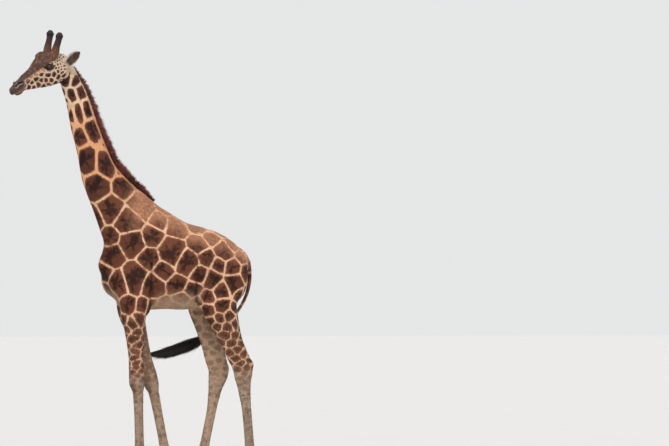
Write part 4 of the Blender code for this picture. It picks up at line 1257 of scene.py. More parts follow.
        # Painted shade: the coat is darkened along the creases behind the elbow and in front of the thigh,
        # where shade falls.
        crease_shade = np.zeros(len(x))
        for fold in SHADED_CREASES:
            gap, along = path_distance(points[:, [0, 2]], fold.path)
            fade = within(0.2, 0.92, along) * smooth(0.25, 0.75, np.abs(normals[:, 1]))
            crease_shade = np.maximum(crease_shade, bump(gap, 0.45 * fold.width) * fade * (z > 1.45))
        callus = bump(z - 0.91, 0.075) * smooth(0.15, 0.65, -normals[:, 0]) * (x < -0.1)
        ground *= ((1.0 - 0.7 * callus) * (1.0 - 0.8 * crease_shade))[:, None]
        patch *= (1.0 - 0.8 * crease_shade)[:, None]
        # The hearts fade on the back as part of its painted highlight.
        paint = Paint(ground, patch, line, shown, limit, 1.0 - 0.75 * back - 0.4 * leg)
        self.paint_head(paint, points, normals, charts.label == Region.HEAD)
        return paint

    def paint_head(self, paint: Paint, points: Array, normals: Array, head: Array) -> None:
        """Lay the head's own markings over the paint, with a painted highlight on each upper lid and painted
        shade in the nostril slits.
        """
        t = self.tints
        local, facing = in_head(points), turned_to_head(normals)
        x, _, z = local.T
        face = Face()
        point, normal = Flesh().neck_plane
        zone = head * smooth(0.0, 0.12, (points - point) @ np.array(normal))
        fore = zone * smooth(-0.07, -0.12, x)
        paint.patch = mixed(paint.patch, (t.face_brown, fore))
        paint.line = mixed(paint.line, (0.0042, fore))
        paint.limit = mixed(paint.limit, (1.15, fore))
        bridge = np.interp(x, (-0.66, -0.6, -0.5, -0.37, -0.3, -0.235, -0.19, -0.15),
                           (3.9, 3.955, 4.0, 4.1, 4.155, 4.19, 4.25, 4.3))
        dark = smooth(-0.01, 0.014, z - bridge) * zone * (x < -0.14)
        reddish = bump(x + 0.235, 0.05) * smooth(4.17, 4.23, z) * zone
        cheek_line = bump(z - bridge + 0.018, 0.016) * smooth(-0.57, -0.38, x) * smooth(-0.3, -0.34, x) * zone
        muzzle = smooth(-0.488, -0.535, x + 0.25 * (z - 3.92)) * zone
        lip = np.interp(x, *np.array(face.mouth).T)
        tan = bump(z - lip - 0.03, 0.02) * bump(x + 0.565, 0.04) * zone
        mouth_gap, _ = path_distance(local[:, [0, 2]], face.mouth)
        pale = bump(mouth_gap - 0.005, 0.005) * (z > lip) * smooth(-0.64, -0.58, x) * zone
        nostril_gap, _ = path_distance(local[:, [0, 2]], face.nostril)
        nose = zone * (x < -0.5)
        below = bump(nostril_gap - 0.013, 0.006) * (facing[:, 2] < 0.45) * (z < 3.955) * nose
        ground = mixed(paint.ground, (t.face_white, zone), (t.nose_brown, dark), (t.horn_red, reddish * 0.7),
                       (t.stripe, cheek_line), (t.muzzle, muzzle), (t.lip_tan, tan * 0.7),
                       (t.peach, pale * 0.55), (t.ear_rim, below * 0.5),
                       # Painted shade: the nostril slits are painted near black.
                       (t.lid, bump(nostril_gap, 0.009) * nose))
        paint.heart = paint.heart * (1.0 - 0.4 * dark)
        paint.shown = paint.shown * (1.0 - dark) * (1.0 - 0.75 * cheek_line) * (1.0 - muzzle)
        for side in Side:
            centre, out, long, up = face.eye_axes(side)
            rel = local - centre
            wide = np.abs(rel @ long)
            taper = np.maximum(1.0 - (rel @ long / 0.068) ** 2, 0.02)
            oval = np.abs(rel @ up) / (0.034 * taper)
            near = (np.abs(rel @ out) < 0.05) * (wide < 0.066) * zone
            rim = smooth(1.2, 0.85, oval) * near
            under = bump(oval - 1.4, 0.18) * (rel @ up < 0.0) * near
            turn, high, _ = face.opening(local, side)
            # A painted highlight along the fold of each upper lid.
            fold = bump(turn - 1.45, 0.22) * smooth(0.05, 0.3, high) * smooth(0.036, 0.022, wide)
            base = on_side(EAR[1], side)
            run = on_side(EAR[-1], side) - base
            along = (local - base) @ run / (run @ run)
            off = np.linalg.norm(local - base - along[:, None] * run, axis=1)
            ear = smooth(-0.05, 0.12, along) * (along < 1.2) * (off < 0.075) * zone
            width = np.interp(along, (0.0, 0.2, 0.5, 0.8, 1.0), (0.032, 0.049, 0.057, 0.046, 0.01))
            front = -facing[:, 0]
            inside = smooth(0.9, 0.74, off / width) * smooth(0.0, 0.35, front) * smooth(0.0, 0.22, along)
            back_of_ear = ear * smooth(0.2, -0.2, front) * smooth(0.2, 0.8, along)
            ground = mixed(ground, (t.face_white, under * 0.8), (t.lid, rim), (t.lid_highlight, fold * near * 0.7),
                           (t.ear_rim, ear), (t.ear_inner, ear * inside), (t.face_brown, back_of_ear * 0.45))
            paint.shown = paint.shown * (1.0 - np.clip(rim + 0.7 * under, 0.0, 1.0)) * (1.0 - ear)
        paint.ground = ground

    def unwrap(self, mesh: Mesh, charts: Charts) -> None:
        """Lay out each form's own chart for the coat's map, kept for each corner of a face."""
        share = (charts.turn / (2.0 * math.pi)) % 1.0
        corners, face, total = corner_tables(mesh)
        u = share[corners]
        highest = np.zeros(len(total))
        np.maximum.at(highest, face, u)
        chart_corners(mesh, np.where(highest[face] - u > 0.5, u + 1.0, u) / 2.0, charts.along)


# ---- Shader groups ----

class Value:
    """An output in a graph, which takes part in sums and products as a number does."""

    def __init__(self, graph: Graph, socket: Socket) -> None:
        """Take the output of a node in a graph."""
        self.graph, self.socket = graph, socket

    def __add__(self, other: object) -> Value:
        """The sum with another value."""
        return self.graph.math("ADD", self, other)

    def __sub__(self, other: object) -> Value:
        """The difference from another value."""
        return self.graph.math("SUBTRACT", self, other)

    def __rsub__(self, other: object) -> Value:
        """The difference of another value from this one."""
        return self.graph.math("SUBTRACT", other, self)

    def __mul__(self, other: object) -> Value:
        """The product with another value."""
        return self.graph.math("MULTIPLY", self, other)


class Graph:
    """A node tree with short ways to add nodes and join them."""

    def __init__(self, tree: Tree) -> None:
        """Take the tree to add to."""
        self.tree = tree

    def add(self, kind: str, values: Optional[dict] = None, **settings: object) -> Node:
        """A new node with its settings, and with its inputs set or joined."""
        node = self.tree.nodes.new(kind)
        for name, value in settings.items():
            setattr(node, name, value)
        for name, value in (values or {}).items():
            self.feed(node.inputs[name], value)
        return node

    def get(self, kind: str, values: Optional[dict] = None, output: object = 0, **settings: object) -> Value:
        """One output of a new node."""
        return Value(self, self.add(kind, values, **settings).outputs[output])

    def feed(self, socket: Socket, value: object) -> None:
        """Join an output to an input, or set the input's value."""
        if isinstance(value, Value):
            self.tree.links.new(value.socket, socket)
        else:
            socket.default_value = value

    def math(self, operation: str, *values: object) -> Value:
        """The result of an operation on numbers."""
        return self.get("ShaderNodeMath", dict(enumerate(values)), operation=operation)

    def mix(self, share: object, one: object, two: object, how: str = "MIX") -> Value:
        """Two colours mixed by a share."""
        one, two = (colour if isinstance(colour, Value) else (*colour, 1.0) for colour in (one, two))
        return self.get("ShaderNodeMix", {0: share, 6: one, 7: two}, 2, data_type="RGBA", blend_type=how)

    def toned(self, colour: object, tone: object) -> Value:
        """A colour made lighter or darker by a tone."""
        grey = self.get("ShaderNodeCombineColor", {0: tone, 1: tone, 2: tone})
        return self.mix(1.0, colour, grey, "MULTIPLY")

    def attribute(self, name: str, output: str = "Fac") -> Value:
        """A named attribute of the surface."""
        return self.get("ShaderNodeAttribute", None, output, attribute_name=name)

    def noise(self, place: object, scale: object, detail: float = 2.0, rough: float = 0.5) -> Value:
        """Noise between 0 and 1 at a place."""
        values = {"Vector": place, "Scale": scale, "Detail": detail, "Roughness": rough}
        return self.get("ShaderNodeTexNoise", values)

    def stretched(self, place: object, scale: Sequence[float]) -> Value:
        """A place with each axis at its own scale."""
        return self.get("ShaderNodeMapping", {"Vector": place, "Scale": scale})

    def step(self, value: object, low: object, high: object) -> Value:
        """A smooth rise from 0 at low to 1 at high."""
        values = {0: value, 1: low, 2: high, 3: 0.0, 4: 1.0}
        return self.get("ShaderNodeMapRange", values, interpolation_type="SMOOTHSTEP")


def shader_group(name: str, inputs: dict, outputs: dict) -> tuple[Graph, dict, dict]:
    """A new shader group with named sockets.

    Args:
        name: the group's name.
        inputs: each input's name with its plain value.
        outputs: each output's name with its kind of socket.

    Returns:
        The graph, its inputs by name, and the sockets that its outputs are fed by.
    """
    tree = bpy.data.node_groups.new(name, "ShaderNodeTree")
    for label, value in inputs.items():
        socket = tree.interface.new_socket(label, in_out="INPUT", socket_type="NodeSocketFloat")
        socket.default_value = value
    for label, kind in outputs.items():
        tree.interface.new_socket(label, in_out="OUTPUT", socket_type=kind)
    graph = Graph(tree)
    source = graph.add("NodeGroupInput").outputs
    given = {label: Value(graph, source[label]) for label in inputs}
    return graph, given, graph.add("NodeGroupOutput").inputs


@dataclass(frozen=True)
class CoatShades:
    """Colours that the coat's patches and ground are mixed towards."""

    heart: Colour = (0.15, 0.16, 0.22)
    rim: Colour = (0.36, 0.13, 0.062)
    blotch: Colour = (0.3, 0.17, 0.1)
    low_mottle: Colour = (0.135, 0.088, 0.062)
    speckle: Colour = (0.1, 0.048, 0.03)
    fleck: Colour = (0.56, 0.31, 0.19)


def markings_group() -> Tree:
    """The coat's patches with ragged edges and dark hearts, on its pale ground."""
    inputs = {"Ragged": 0.014, "Feathered": 0.006, "Soft": 0.004, "Heart": 0.88}
    g, given, out = shader_group("coat markings", inputs, {"Colour": "NodeSocketColor"})
    shades = CoatShades()
    root = g.attribute("root", "Vector")
    coarse = g.noise(root, 19.0, 3.0, 0.6) - 0.5
    fine = g.noise(g.stretched(root, (1.0, 1.0, 0.55)), 130.0, 3.0, 0.7) - 0.5
    broad = (g.noise(root, 9.0) - 0.5) * 0.55
    small = g.math("MINIMUM", g.attribute("reach") * 9.0, 1.0)
    edge = g.attribute("edge") + coarse * (given["Ragged"] * small) + fine * given["Feathered"]
    uneven = coarse * (1.25 - small * 0.8)
    share = g.attribute("share") + uneven + broad
    inside = g.step(edge, 0.0, given["Soft"]) * g.step(share, 1.0, 0.9) * g.attribute("shown")
    arms = (g.noise(g.attribute("spoke", "Vector"), 1.6, 1.0) - 0.5) * 1.3
    heart = (g.noise(root, 24.0, 4.0, 0.65) - 0.5) * 1.1 + arms + (uneven + broad)
    hearted = g.attribute("heart")
    heart = g.step(g.attribute("core") + heart, 0.44, 0.04) * (given["Heart"] * hearted)
    patch = g.mix(heart, g.attribute("patch", "Color"), shades.heart, "MULTIPLY")
    patch = g.toned(patch, g.attribute("tone") * 0.36 + 0.82)
    patch = g.mix(g.step(edge, 0.022, 0.004) * 0.28, patch, shades.rim)
    blotch = g.step(g.noise(root, 11.0, 4.0, 0.7), 0.46, 0.68) * 0.32
    ground = g.mix(blotch, g.attribute("ground", "Color"), shades.blotch)
    low = g.step(g.get("ShaderNodeSeparateXYZ", {0: root}, 2), 1.25, 1.0)
    mottled = g.step(g.noise(root, 17.0, 3.0, 0.65) + fine * 0.3, 0.48, 0.6)
    ground = g.mix(mottled * low * 0.7, ground, shades.low_mottle)
    plain = 1.0 - hearted
    speckle = g.step(g.noise(root, 48.0, 3.0, 0.65), 0.44, 0.62) * 0.75 * plain
    colour = g.mix(speckle, g.mix(inside, ground, patch), shades.speckle)
    flecks = g.step(g.noise(g.stretched(root, (34.0, 34.0, 22.0)), 1.0, 4.0, 0.7), 0.5, 0.62) * plain
    colour = g.mix(flecks * 0.42, colour, shades.fleck)
    g.feed(out["Colour"], g.toned(colour, g.noise(root, 42.0, 3.0, 0.6) * 0.4 + 0.8))
    return g.tree


def hair_group() -> Tree:
    """The fine streaks of short hair that lies along the body, as a height and a tone."""
    outputs = {"Height": "NodeSocketFloat", "Tone": "NodeSocketFloat"}
    g, given, out = shader_group("lying hair", {"Fineness": 1.0}, outputs)
    root = g.attribute("root", "Vector")
    level = g.get("ShaderNodeSeparateXYZ", {0: g.attribute("lie", "Vector")})
    run = g.noise(g.stretched(root, (55.0, 420.0, 420.0)), given["Fineness"], 2.0, 0.6)
    fall = g.noise(g.stretched(root, (420.0, 420.0, 55.0)), given["Fineness"], 2.0, 0.6)
    height = fall + (run - fall) * (level * level)
    g.feed(out["Height"], height)
    g.feed(out["Tone"], height * 0.4 + 0.8)
    return g.tree


def mottle_group() -> Tree:
    """Uneven light and dark with a fine grain, for horn, hoof and long hair."""
    inputs = {"Scale": 20.0, "Along": 1.0, "Low": 0.75, "High": 1.2}
    g, given, out = shader_group("mottle", inputs, {"Tone": "NodeSocketFloat", "Grain": "NodeSocketFloat"})
    stretch = g.get("ShaderNodeCombineXYZ", {0: 1.0, 1: 1.0, 2: given["Along"]})
    place = g.get("ShaderNodeTexCoord", None, "Object")
    place = g.get("ShaderNodeVectorMath", {0: place, 1: stretch}, operation="MULTIPLY")
    grain = g.noise(place, given["Scale"] * 9.0, 3.0, 0.6)
    both = g.noise(place, given["Scale"], 4.0, 0.6) * 0.65 + grain * 0.35
    tone = g.get("ShaderNodeMapRange", {0: both, 1: 0.3, 2: 0.7, 3: given["Low"], 4: given["High"]})
    g.feed(out["Tone"], tone)
    g.feed(out["Grain"], grain)
    return g.tree


# ---- Finishes ----

class Groups:
    """The shader groups, each built once."""

    def __init__(self) -> None:
        """Build the groups."""
        self.markings = markings_group()
        self.hair = hair_group()
        self.mottle = mottle_group()


class Surface(Graph):
    """A new material's graph, with its surface shader."""

    def __init__(self, name: str, groups: Groups) -> None:
        """Start a material that may use the groups."""
        self.material = bpy.data.materials.new(name)
        self.material.use_nodes = True
        self.groups = groups
        super().__init__(self.material.node_tree)

    def mottle(self, **values: float) -> tuple[Value, Value]:
        """The tone and the grain of the mottle group with its own values."""
        node = self.add("ShaderNodeGroup", values, node_tree=self.groups.mottle)
        return Value(self, node.outputs["Tone"]), Value(self, node.outputs["Grain"])

    def raised(self, strength: float, distance: float, height: Value) -> Value:
        """The normal of a surface raised by a height."""
        return self.get("ShaderNodeBump", {"Strength": strength, "Distance": distance, "Height": height})

    def dressed(self, values: dict) -> Material:
        """The material, once the inputs of its shader are set or joined."""
        shader = self.tree.nodes["Principled BSDF"]
        for name, value in values.items():
            self.feed(shader.inputs[name], value)
        return self.material


@dataclass(frozen=True)
class CoatFinish:
    """Short hair on skin: the painted coat with streaks, and bare leathery skin where it ends."""

    roughness: float = 0.72
    bare_roughness: float = 0.46
    bump: float = 0.0016
    sheen: float = 0.03
    specular: float = 0.14

    def build(self, groups: Groups, tufts: bool) -> Material:
        """The material of the skin, or of the tufts that stand on it."""
        g = Surface("coat_tufts" if tufts else "coat_skin", groups)
        paint = g.get("ShaderNodeGroup", None, "Colour", node_tree=groups.markings)
        looks = {"Sheen Weight": self.sheen, "Sheen Roughness": 0.5, "Specular IOR Level": self.specular}
        if tufts:
            # Each tuft is painted darker at its root than at its tip, as painted shade down among the hairs.
            along = g.get("ShaderNodeMapRange", {0: g.attribute("tip"), 3: 1.0, 4: 1.12})
            tone = along * (g.attribute("chance") * 0.2 + 0.9)
            return g.dressed({**looks, "Base Color": g.toned(paint, tone), "Roughness": self.roughness})
        hair = g.add("ShaderNodeGroup", node_tree=groups.hair)
        height, tone = (Value(g, hair.outputs[name]) for name in ("Height", "Tone"))
        bare, root = g.attribute("bare"), g.attribute("root", "Vector")
        wrinkles = g.noise(g.stretched(root, (110.0, 70.0, 240.0)), 1.0, 3.0, 0.6)
        leather = g.noise(root, 260.0, 4.0, 0.6) + wrinkles * 1.4
        height = height * (1.0 - bare) + leather * bare
        return g.dressed({**looks, "Base Color": g.toned(paint, tone),
                          "Roughness": bare * (self.bare_roughness - self.roughness) + self.roughness,
                          "Normal": g.raised(0.8, self.bump, height)})


@dataclass(frozen=True)
class LockFinish:
    """Long hair: dark at the root, warmer towards the tip, each hair with its own tone."""

    name: str
    root: Colour
    tip: Colour
    roughness: float = 0.55

    def build(self, groups: Groups) -> Material:
        """The material of locks and of the core below them."""
        g = Surface(self.name, groups)
        tone, _ = g.mottle(Scale=30.0, Low=0.45, High=1.55)
        colour = g.toned(g.mix(g.attribute("tip"), self.root, self.tip), tone)
        own = (g.attribute("chance") * 0.56 + 0.72) * (g.attribute("clump") + 0.5)
        return g.dressed({"Base Color": g.toned(colour, own), "Roughness": self.roughness,
                          "Specular IOR Level": 0.35})


@dataclass(frozen=True)
class HornFinish:
    """A horn in its skin: reddish hair at the base, near black above and worn at the crown."""

    base: Colour = linear(104, 66, 54)
    shaft: Colour = linear(60, 44, 42)
    crown: Colour = linear(46, 38, 40)

    def build(self, groups: Groups) -> Material:
        """The material of the horns."""
        g = Surface("horn_skin", groups)
        tone, grain = g.mottle(Scale=26.0, Along=0.3)
        ragged = g.attribute("height") + (grain - 0.5) * 0.5
        colour = g.mix(g.step(ragged, 0.05, 0.45), self.base, self.shaft)
        colour = g.mix(g.step(ragged, 0.62, 0.85), colour, self.crown)
        return g.dressed({"Base Color": g.toned(colour, tone), "Roughness": 0.7, "Specular IOR Level": 0.25,
                          "Normal": g.raised(0.7, 0.002, grain)})


@dataclass(frozen=True)
class HoofFinish:
    """Dark horn with rings of growth round it and a scuffed edge at the ground."""

    horn: Colour = linear(66, 58, 52)
    worn: Colour = linear(122, 108, 92)

    def build(self, groups: Groups) -> Material:
        """The material of the hooves."""
        g = Surface("hoof_horn", groups)
        tone, grain = g.mottle(Scale=34.0, Along=0.5)
        height = g.get("ShaderNodeSeparateXYZ", {0: g.get("ShaderNodeTexCoord", None, "Object")}, 2)
        ring = g.math("SINE", height * 620.0 + tone * 7.0) * 0.5 + 0.5
        scuffed = g.step(height + grain * 0.02, 0.032, 0.008)
        colour = g.mix(scuffed * 0.7, self.horn, self.worn)
        colour = g.mix(ring * 0.1, colour, self.worn)
        return g.dressed({"Base Color": g.toned(colour, tone), "Roughness": scuffed * 0.3 + 0.42,
                          "Normal": g.raised(0.5, 0.001, ring * 0.3 + grain * 0.6)})


@dataclass(frozen=True)
class EyeFinish:
    """A wet dark eye: deep brown iris, a pupil that lies level, and a clear coat of tears."""

    iris: Colour = linear(52, 30, 20)
    iris_edge: Colour = linear(20, 13, 11)
    white: Colour = linear(72, 58, 52)
    pupil: Colour = (0.003, 0.003, 0.004)

    def build(self, groups: Groups) -> Material:
        """The material of the eyes."""
        g = Surface("wet_eye", groups)
        gaze = g.add("ShaderNodeSeparateXYZ", {0: g.attribute("gaze", "Vector")}).outputs

        def off(*units: float) -> Value:
            """The square of the distance from the eye's middle, with a unit for each way."""
            parts = [Value(g, way) * (1.0 / one) for way, one in zip(gaze, units)]
            return parts[0] * parts[0] + parts[1] * parts[1]
        reach = g.math("SQRT", off(1.0, 1.0))
        colour = g.mix(g.step(reach, 0.35, 0.72), self.iris, self.iris_edge)
        colour = g.toned(colour, g.mottle(Scale=300.0)[0])
        colour = g.mix(g.step(reach, 0.76, 0.82), colour, self.white)
        colour = g.mix(g.step(off(0.42, 0.2), 1.15, 0.9), colour, self.pupil)
        return g.dressed({"Base Color": colour, "Roughness": 0.2, "Specular IOR Level": 0.3,
                          "Coat Weight": 0.7, "Coat Roughness": 0.03})


@dataclass(frozen=True)
class FloorFinish:
    """A plain pale floor with a trace of unevenness."""

    tint: Colour = linear(191, 191, 191)

    def build(self, groups: Groups) -> Material:
        """The material of the floor."""
        g = Surface("pale_floor", groups)
        tone, _ = g.mottle(Scale=0.6, Low=0.98, High=1.02)
        return g.dressed({"Base Color": g.toned(self.tint, tone), "Roughness": 0.85})


# ---- Tufts and locks ----

@dataclass(frozen=True)
class Bunch:
    """The plan of a small bunch of blades that is one unit long and lies along +Y."""

    blades: int
    spans: int
    width: float
    spread: float
    fan: float
    rise: float
    droop: float = 0.0
    kinds: int = 5
    seed: int = 3

    def one(self, rng: np.random.Generator, name: str) -> Item:
        """A bunch whose blades are strips that end in a point."""
        verts, faces, tips, spots = [], [], [], []
        for k in range(self.blades):
            start = np.array((rng.uniform(-1.0, 1.0) * self.spread, rng.uniform(0.0, 0.25), -0.02))
            turn = rng.uniform(-1.0, 1.0) * self.fan
            length = rng.uniform(0.72, 1.0)
            rise = self.rise * rng.uniform(0.5, 1.2)
            bend = rng.uniform(-1.0, 1.0) * self.fan * 0.7
            base = len(verts)
            for j in range(self.spans + 1):
                t = j / self.spans
                angle = turn + bend * t
                place = start + (math.sin(angle) * t * length, math.cos(angle) * t * length,
                                 rise * math.sin(t * math.pi * 0.6) - self.droop * t * t)
                half = self.width / 2.0 * (1.0 - t) ** 0.5
                for side in (-1.0, 1.0) if j < self.spans else (0.0,):
                    verts.append(place + (side * math.cos(angle) * half, -side * math.sin(angle) * half, 0.0))
                    tips.append(t)
                    spots.append(((k + 0.5 + side * 0.3) / self.blades - 0.5, t - 0.5, 0.0))
            faces += [(a, a + 1, a + 3, a + 2) for a in range(base, base + 2 * self.spans - 2, 2)]
            faces.append(range(base + 2 * self.spans - 2, base + 2 * self.spans + 1))
        mesh = mesh_from(verts, faces, name)
        mesh.shade_smooth()
        store(mesh, tip=np.array(tips), spot=np.array(spots))
        return bpy.data.objects.new(name, mesh)

    def collection(self, name: str) -> bpy.types.Collection:
        """Several bunches to pick from, kept out of the scene."""
        rng = np.random.default_rng(self.seed)
        made = bpy.data.collections.new(name)
        for k in range(self.kinds):
            made.objects.link(self.one(rng, f"{name}_{k}"))
        return made


class Planting:
    """The node tree that plants bunches on a surface, along its lie."""

    INPUTS = {"Surface": ("Geometry", None), "Bunches": ("Collection", None), "Per area": ("Float", 1000.0),
              "Seed": ("Int", 0), "Turn": ("Float", 0.25), "Lift": ("Float", 0.12),
              "Patch size": ("Float", 0.003), "Finish": ("Material", None)}

    def __init__(self) -> None:
        """Build the tree, and keep the key of each of its inputs."""
        tree = bpy.data.node_groups.new("plant bunches", "GeometryNodeTree")
        self.tree, self.keys = tree, {}
        for name, (kind, value) in self.INPUTS.items():
            socket = tree.interface.new_socket(name, in_out="INPUT", socket_type=f"NodeSocket{kind}")
            if value is not None:
                socket.default_value = value
            self.keys[name] = socket.identifier
        tree.interface.new_socket("Geometry", in_out="OUTPUT", socket_type="NodeSocketGeometry")
        g = Graph(tree)
        source = g.add("NodeGroupInput").outputs
        given = {name: Value(g, source[name]) for name in self.INPUTS}

        def named(name: str, kind: str = "FLOAT") -> Value:
            """A named attribute of the surface."""
            return g.get("GeometryNodeInputNamedAttribute", {"Name": name}, data_type=kind)

        def chance(low: float, high: float, offset: int) -> Value:
            """A random number for each bunch."""
            return g.get("FunctionNodeRandomValue", {2: low, 3: high, "Seed": given["Seed"] + offset}, 1,
                         data_type="FLOAT")

        density = named("density") * given["Per area"]
        values = {"Mesh": given["Surface"], "Density": density, "Seed": given["Seed"]}
        points = g.add("GeometryNodeDistributePointsOnFaces", values, distribute_method="RANDOM").outputs
        turned = g.get("FunctionNodeAxesToRotation",
                       {0: Value(g, points["Normal"]), 1: named("lie", "FLOAT_VECTOR")},
                       primary_axis="Z", secondary_axis="Y")
        swing = g.get("ShaderNodeCombineXYZ", {0: chance(0.0, 1.0, 1) * given["Lift"],
                                               2: chance(-1.0, 1.0, 2) * given["Turn"]})
        swing = g.get("FunctionNodeEulerToRotation", {0: swing})
        pick = {"Collection": given["Bunches"], "Separate Children": True, "Reset Children": True}
        planted = g.get("GeometryNodeInstanceOnPoints", {
            "Points": Value(g, points["Points"]), "Instance": g.get("GeometryNodeCollectionInfo", pick),
            "Pick Instance": True, "Scale": named("length") * chance(0.75, 1.15, 3),
            "Rotation": g.get("FunctionNodeRotateRotation", {0: turned, 1: swing}, rotation_space="LOCAL")})
        marked = g.get("GeometryNodeStoreNamedAttribute", {
            "Geometry": planted, "Name": "chance", "Value": chance(0.0, 1.0, 4)},
            data_type="FLOAT", domain="INSTANCE")
        spot = g.get("ShaderNodeVectorMath", {0: named("spot", "FLOAT_VECTOR"), "Scale": given["Patch size"]},
                     operation="SCALE")
        place = g.get("ShaderNodeVectorMath", {0: named("chart", "FLOAT_VECTOR"), 1: spot}, operation="ADD")
        mapped = g.get("GeometryNodeStoreNamedAttribute", {
            "Geometry": g.get("GeometryNodeRealizeInstances", {0: marked}), "Name": "OFBake", "Value": place},
            data_type="FLOAT2", domain="CORNER")
        dressed = g.get("GeometryNodeSetMaterial", {"Geometry": mapped, "Material": given["Finish"]})
        g.feed(g.add("NodeGroupOutput").inputs[0], dressed)

    def plant(self, surface: Mesh, bunches: bpy.types.Collection, count: int, finish: Material, seed: int,
              turn: float = 0.25, lift: float = 0.12) -> Mesh:
        """Bunches on a surface as one plain mesh.

        Args:
            surface: a mesh with density, length, lie and chart on it.
            bunches: the bunches to pick from.
            count: how many to plant.
            finish: their material.
            seed: the seed of all that is random.
            turn: how far a bunch may turn from the lie, in radians.
            lift: how far it may stand up, in radians.

        Returns:
            The mesh of all the bunches.
        """
        corners, face, total = corner_tables(surface)
        weight = read(surface.attributes["density"].data, "value")
        area = read(surface.polygons, "area")
        whole = float(np.sum(np.bincount(face, weight[corners], len(total)) / total * area))
        values = {"Bunches": bunches, "Per area": count / max(whole, 1e-6), "Seed": seed, "Turn": turn,
                  "Lift": lift, "Finish": finish}

        def dress(holder: Item) -> None:
            """Give the surface the tree with its inputs."""
            step = holder.modifiers.new("planting", "NODES")
            step.node_group = self.tree
            for name, value in values.items():
                step[self.keys[name]] = value
        return evaluated(surface, dress)


def chart(mesh: Mesh, across: Array, along: Array) -> None:
    """Keep each vertex's place on the mesh's own unwrap, for the hair's map."""
    chart_corners(mesh, across[corner_tables(mesh)[0]], along)


def chart_corners(mesh: Mesh, across: Array, along: Array) -> None:
    """The same, where the place across is given for each corner of a face."""
    flat = np.stack([across, along[corner_tables(mesh)[0]], np.zeros(len(across))], 1)
    layer = mesh.attributes.new("chart", "FLOAT_VECTOR", "CORNER")
    layer.data.foreach_set("vector", flat.astype(np.float32).ravel())


# ---- Pieces ----

def linked(name: str, data: object) -> Item:
    """A new object in the scene."""
    item = bpy.data.objects.new(name, data)
    bpy.context.scene.collection.objects.link(item)
    return item


def show(name: str, mesh: Mesh, nodes: Sequence[str] = (),
         finish: Optional[Material] = None) -> None:
    """Put a finished mesh in the scene as a piece that rides on the body, and report it."""
    mesh.name = name
    if finish:
        mesh.materials.clear()
        mesh.materials.append(finish)
    item = linked(name, mesh)
    if nodes:
        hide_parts(*nodes)
    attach(item, ROOT)
    LOG.info("%s: %d triangles", name, int(np.sum(corner_tables(mesh)[2] - 2)))


@dataclass
class Hide:
    """The skin of the whole animal and the short coat on it."""

    bunch: Bunch = Bunch(blades=3, spans=2, width=0.13, spread=0.18, fan=0.3, rise=0.16)
    counts: tuple = (
        ("trunk_left", Region.TRUNK, Side.LEFT, 18000), ("trunk_right", Region.TRUNK, Side.RIGHT, 18000),
        ("neck_left", Region.NECK, Side.LEFT, 12000), ("neck_right", Region.NECK, Side.RIGHT, 12000),
        ("head", Region.HEAD, None, 20500), ("foreleg_left", Region.FORE_LEFT, None, 9000),
        ("foreleg_right", Region.FORE_RIGHT, None, 9000), ("hindleg_left", Region.HIND_LEFT, None, 10000),
        ("hindleg_right", Region.HIND_RIGHT, None, 10000), ("tail", Region.TAIL, None, 2500),
    )

    def nodes(self) -> list[str]:
        """The solids of flesh that the skin stands for."""
        kept = ("hoof", "eye", "ossicone", "mane", "tuft")
        return [name for name in sorted(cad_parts) if not any(word in name for word in kept)]

    def skin(self) -> Mesh:
        """The skin with all that its coat is painted and planted from."""
        mesh = Flesh().finished()
        Markings().dress(mesh)
        return mesh

    def lengths(self, points: Array, normals: Array, label: Array) -> tuple[Array, Array]:
        """How thick the tufts stand and how long they are, at places by the plumb line."""
        z = points[:, 2]
        local = in_head(points)
        up, front = normals[:, 2], -normals[:, 0]
        leg = smooth(1.45, 1.0, z)
        length = 0.015 - 0.006 * leg
        belly = smooth(-0.3, -0.85, up) * smooth(1.55, 1.75, z) * smooth(2.1, 1.95, z)
        chest = smooth(0.4, 0.9, front) * smooth(1.9, 2.1, z) * smooth(2.9, 2.6, z)
        behind = smooth(0.3, 0.85, -front) * leg
        fetlock = smooth(0.3, 0.2, z) * smooth(0.1, 0.7, -front)
        length += 0.006 * smooth(0.15, 0.11, z) + 0.007 * belly + 0.004 * chest + 0.005 * (behind + fetlock)
        shaggy = [belly, chest, behind, fetlock, smooth(0.5, 0.9, up) * (z > 1.6), smooth(0.17, 0.12, z)]
        thick = 0.5 + 0.5 * np.maximum.reduce(shaggy)
        head = (label == Region.HEAD).astype(float)
        crown = bump(np.linalg.norm((local - (-0.2, 0.0, 4.26)) / (0.1, 0.09, 0.07), axis=1), 0.9)
        face = 0.0062 + 0.0035 * smooth(-0.25, -0.12, local[:, 0]) + 0.004 * crown
        face -= 0.003 * smooth(-0.42, -0.56, local[:, 0])
        length = mixed(length, (face, head))
        thick = mixed(thick, (0.9 + 0.8 * crown, head))
        for side in Side:
            turn, _, reach = Face().opening(local, side)
            thick *= smooth(1.3, 1.9, turn + 9.0 * ((reach > 0.05) | (head < 1.0)))
        bare = head * smooth(-0.555, -0.6, local[:, 0])
        return thick * (1.0 - 0.8 * bare), length

    def coats(self, skin: Mesh, planting: Planting, finish: Material) -> None:
        """Plant the coat on the skin, one piece for each part of the body."""
        points, normals = in_plumb(points_of(skin)), normals_of(skin)
        label = np.round(read(skin.attributes["label"].data, "value")).astype(int)
        thick, length = self.lengths(points, normals, label)
        store(skin, length=length)
        bunches = self.bunch.collection("coat_bunch")
        for seed, (name, region, side, count) in enumerate(self.counts):
            mine = label == region
            if side:
                mine &= points[:, 1] * side.value >= 0.0
            ground = skin.copy()
            store(ground, density=thick * mine)
            tufts = planting.plant(ground, bunches, count, finish, seed + 20)
            bpy.data.meshes.remove(ground)
            show(f"coat_{name}", tufts)


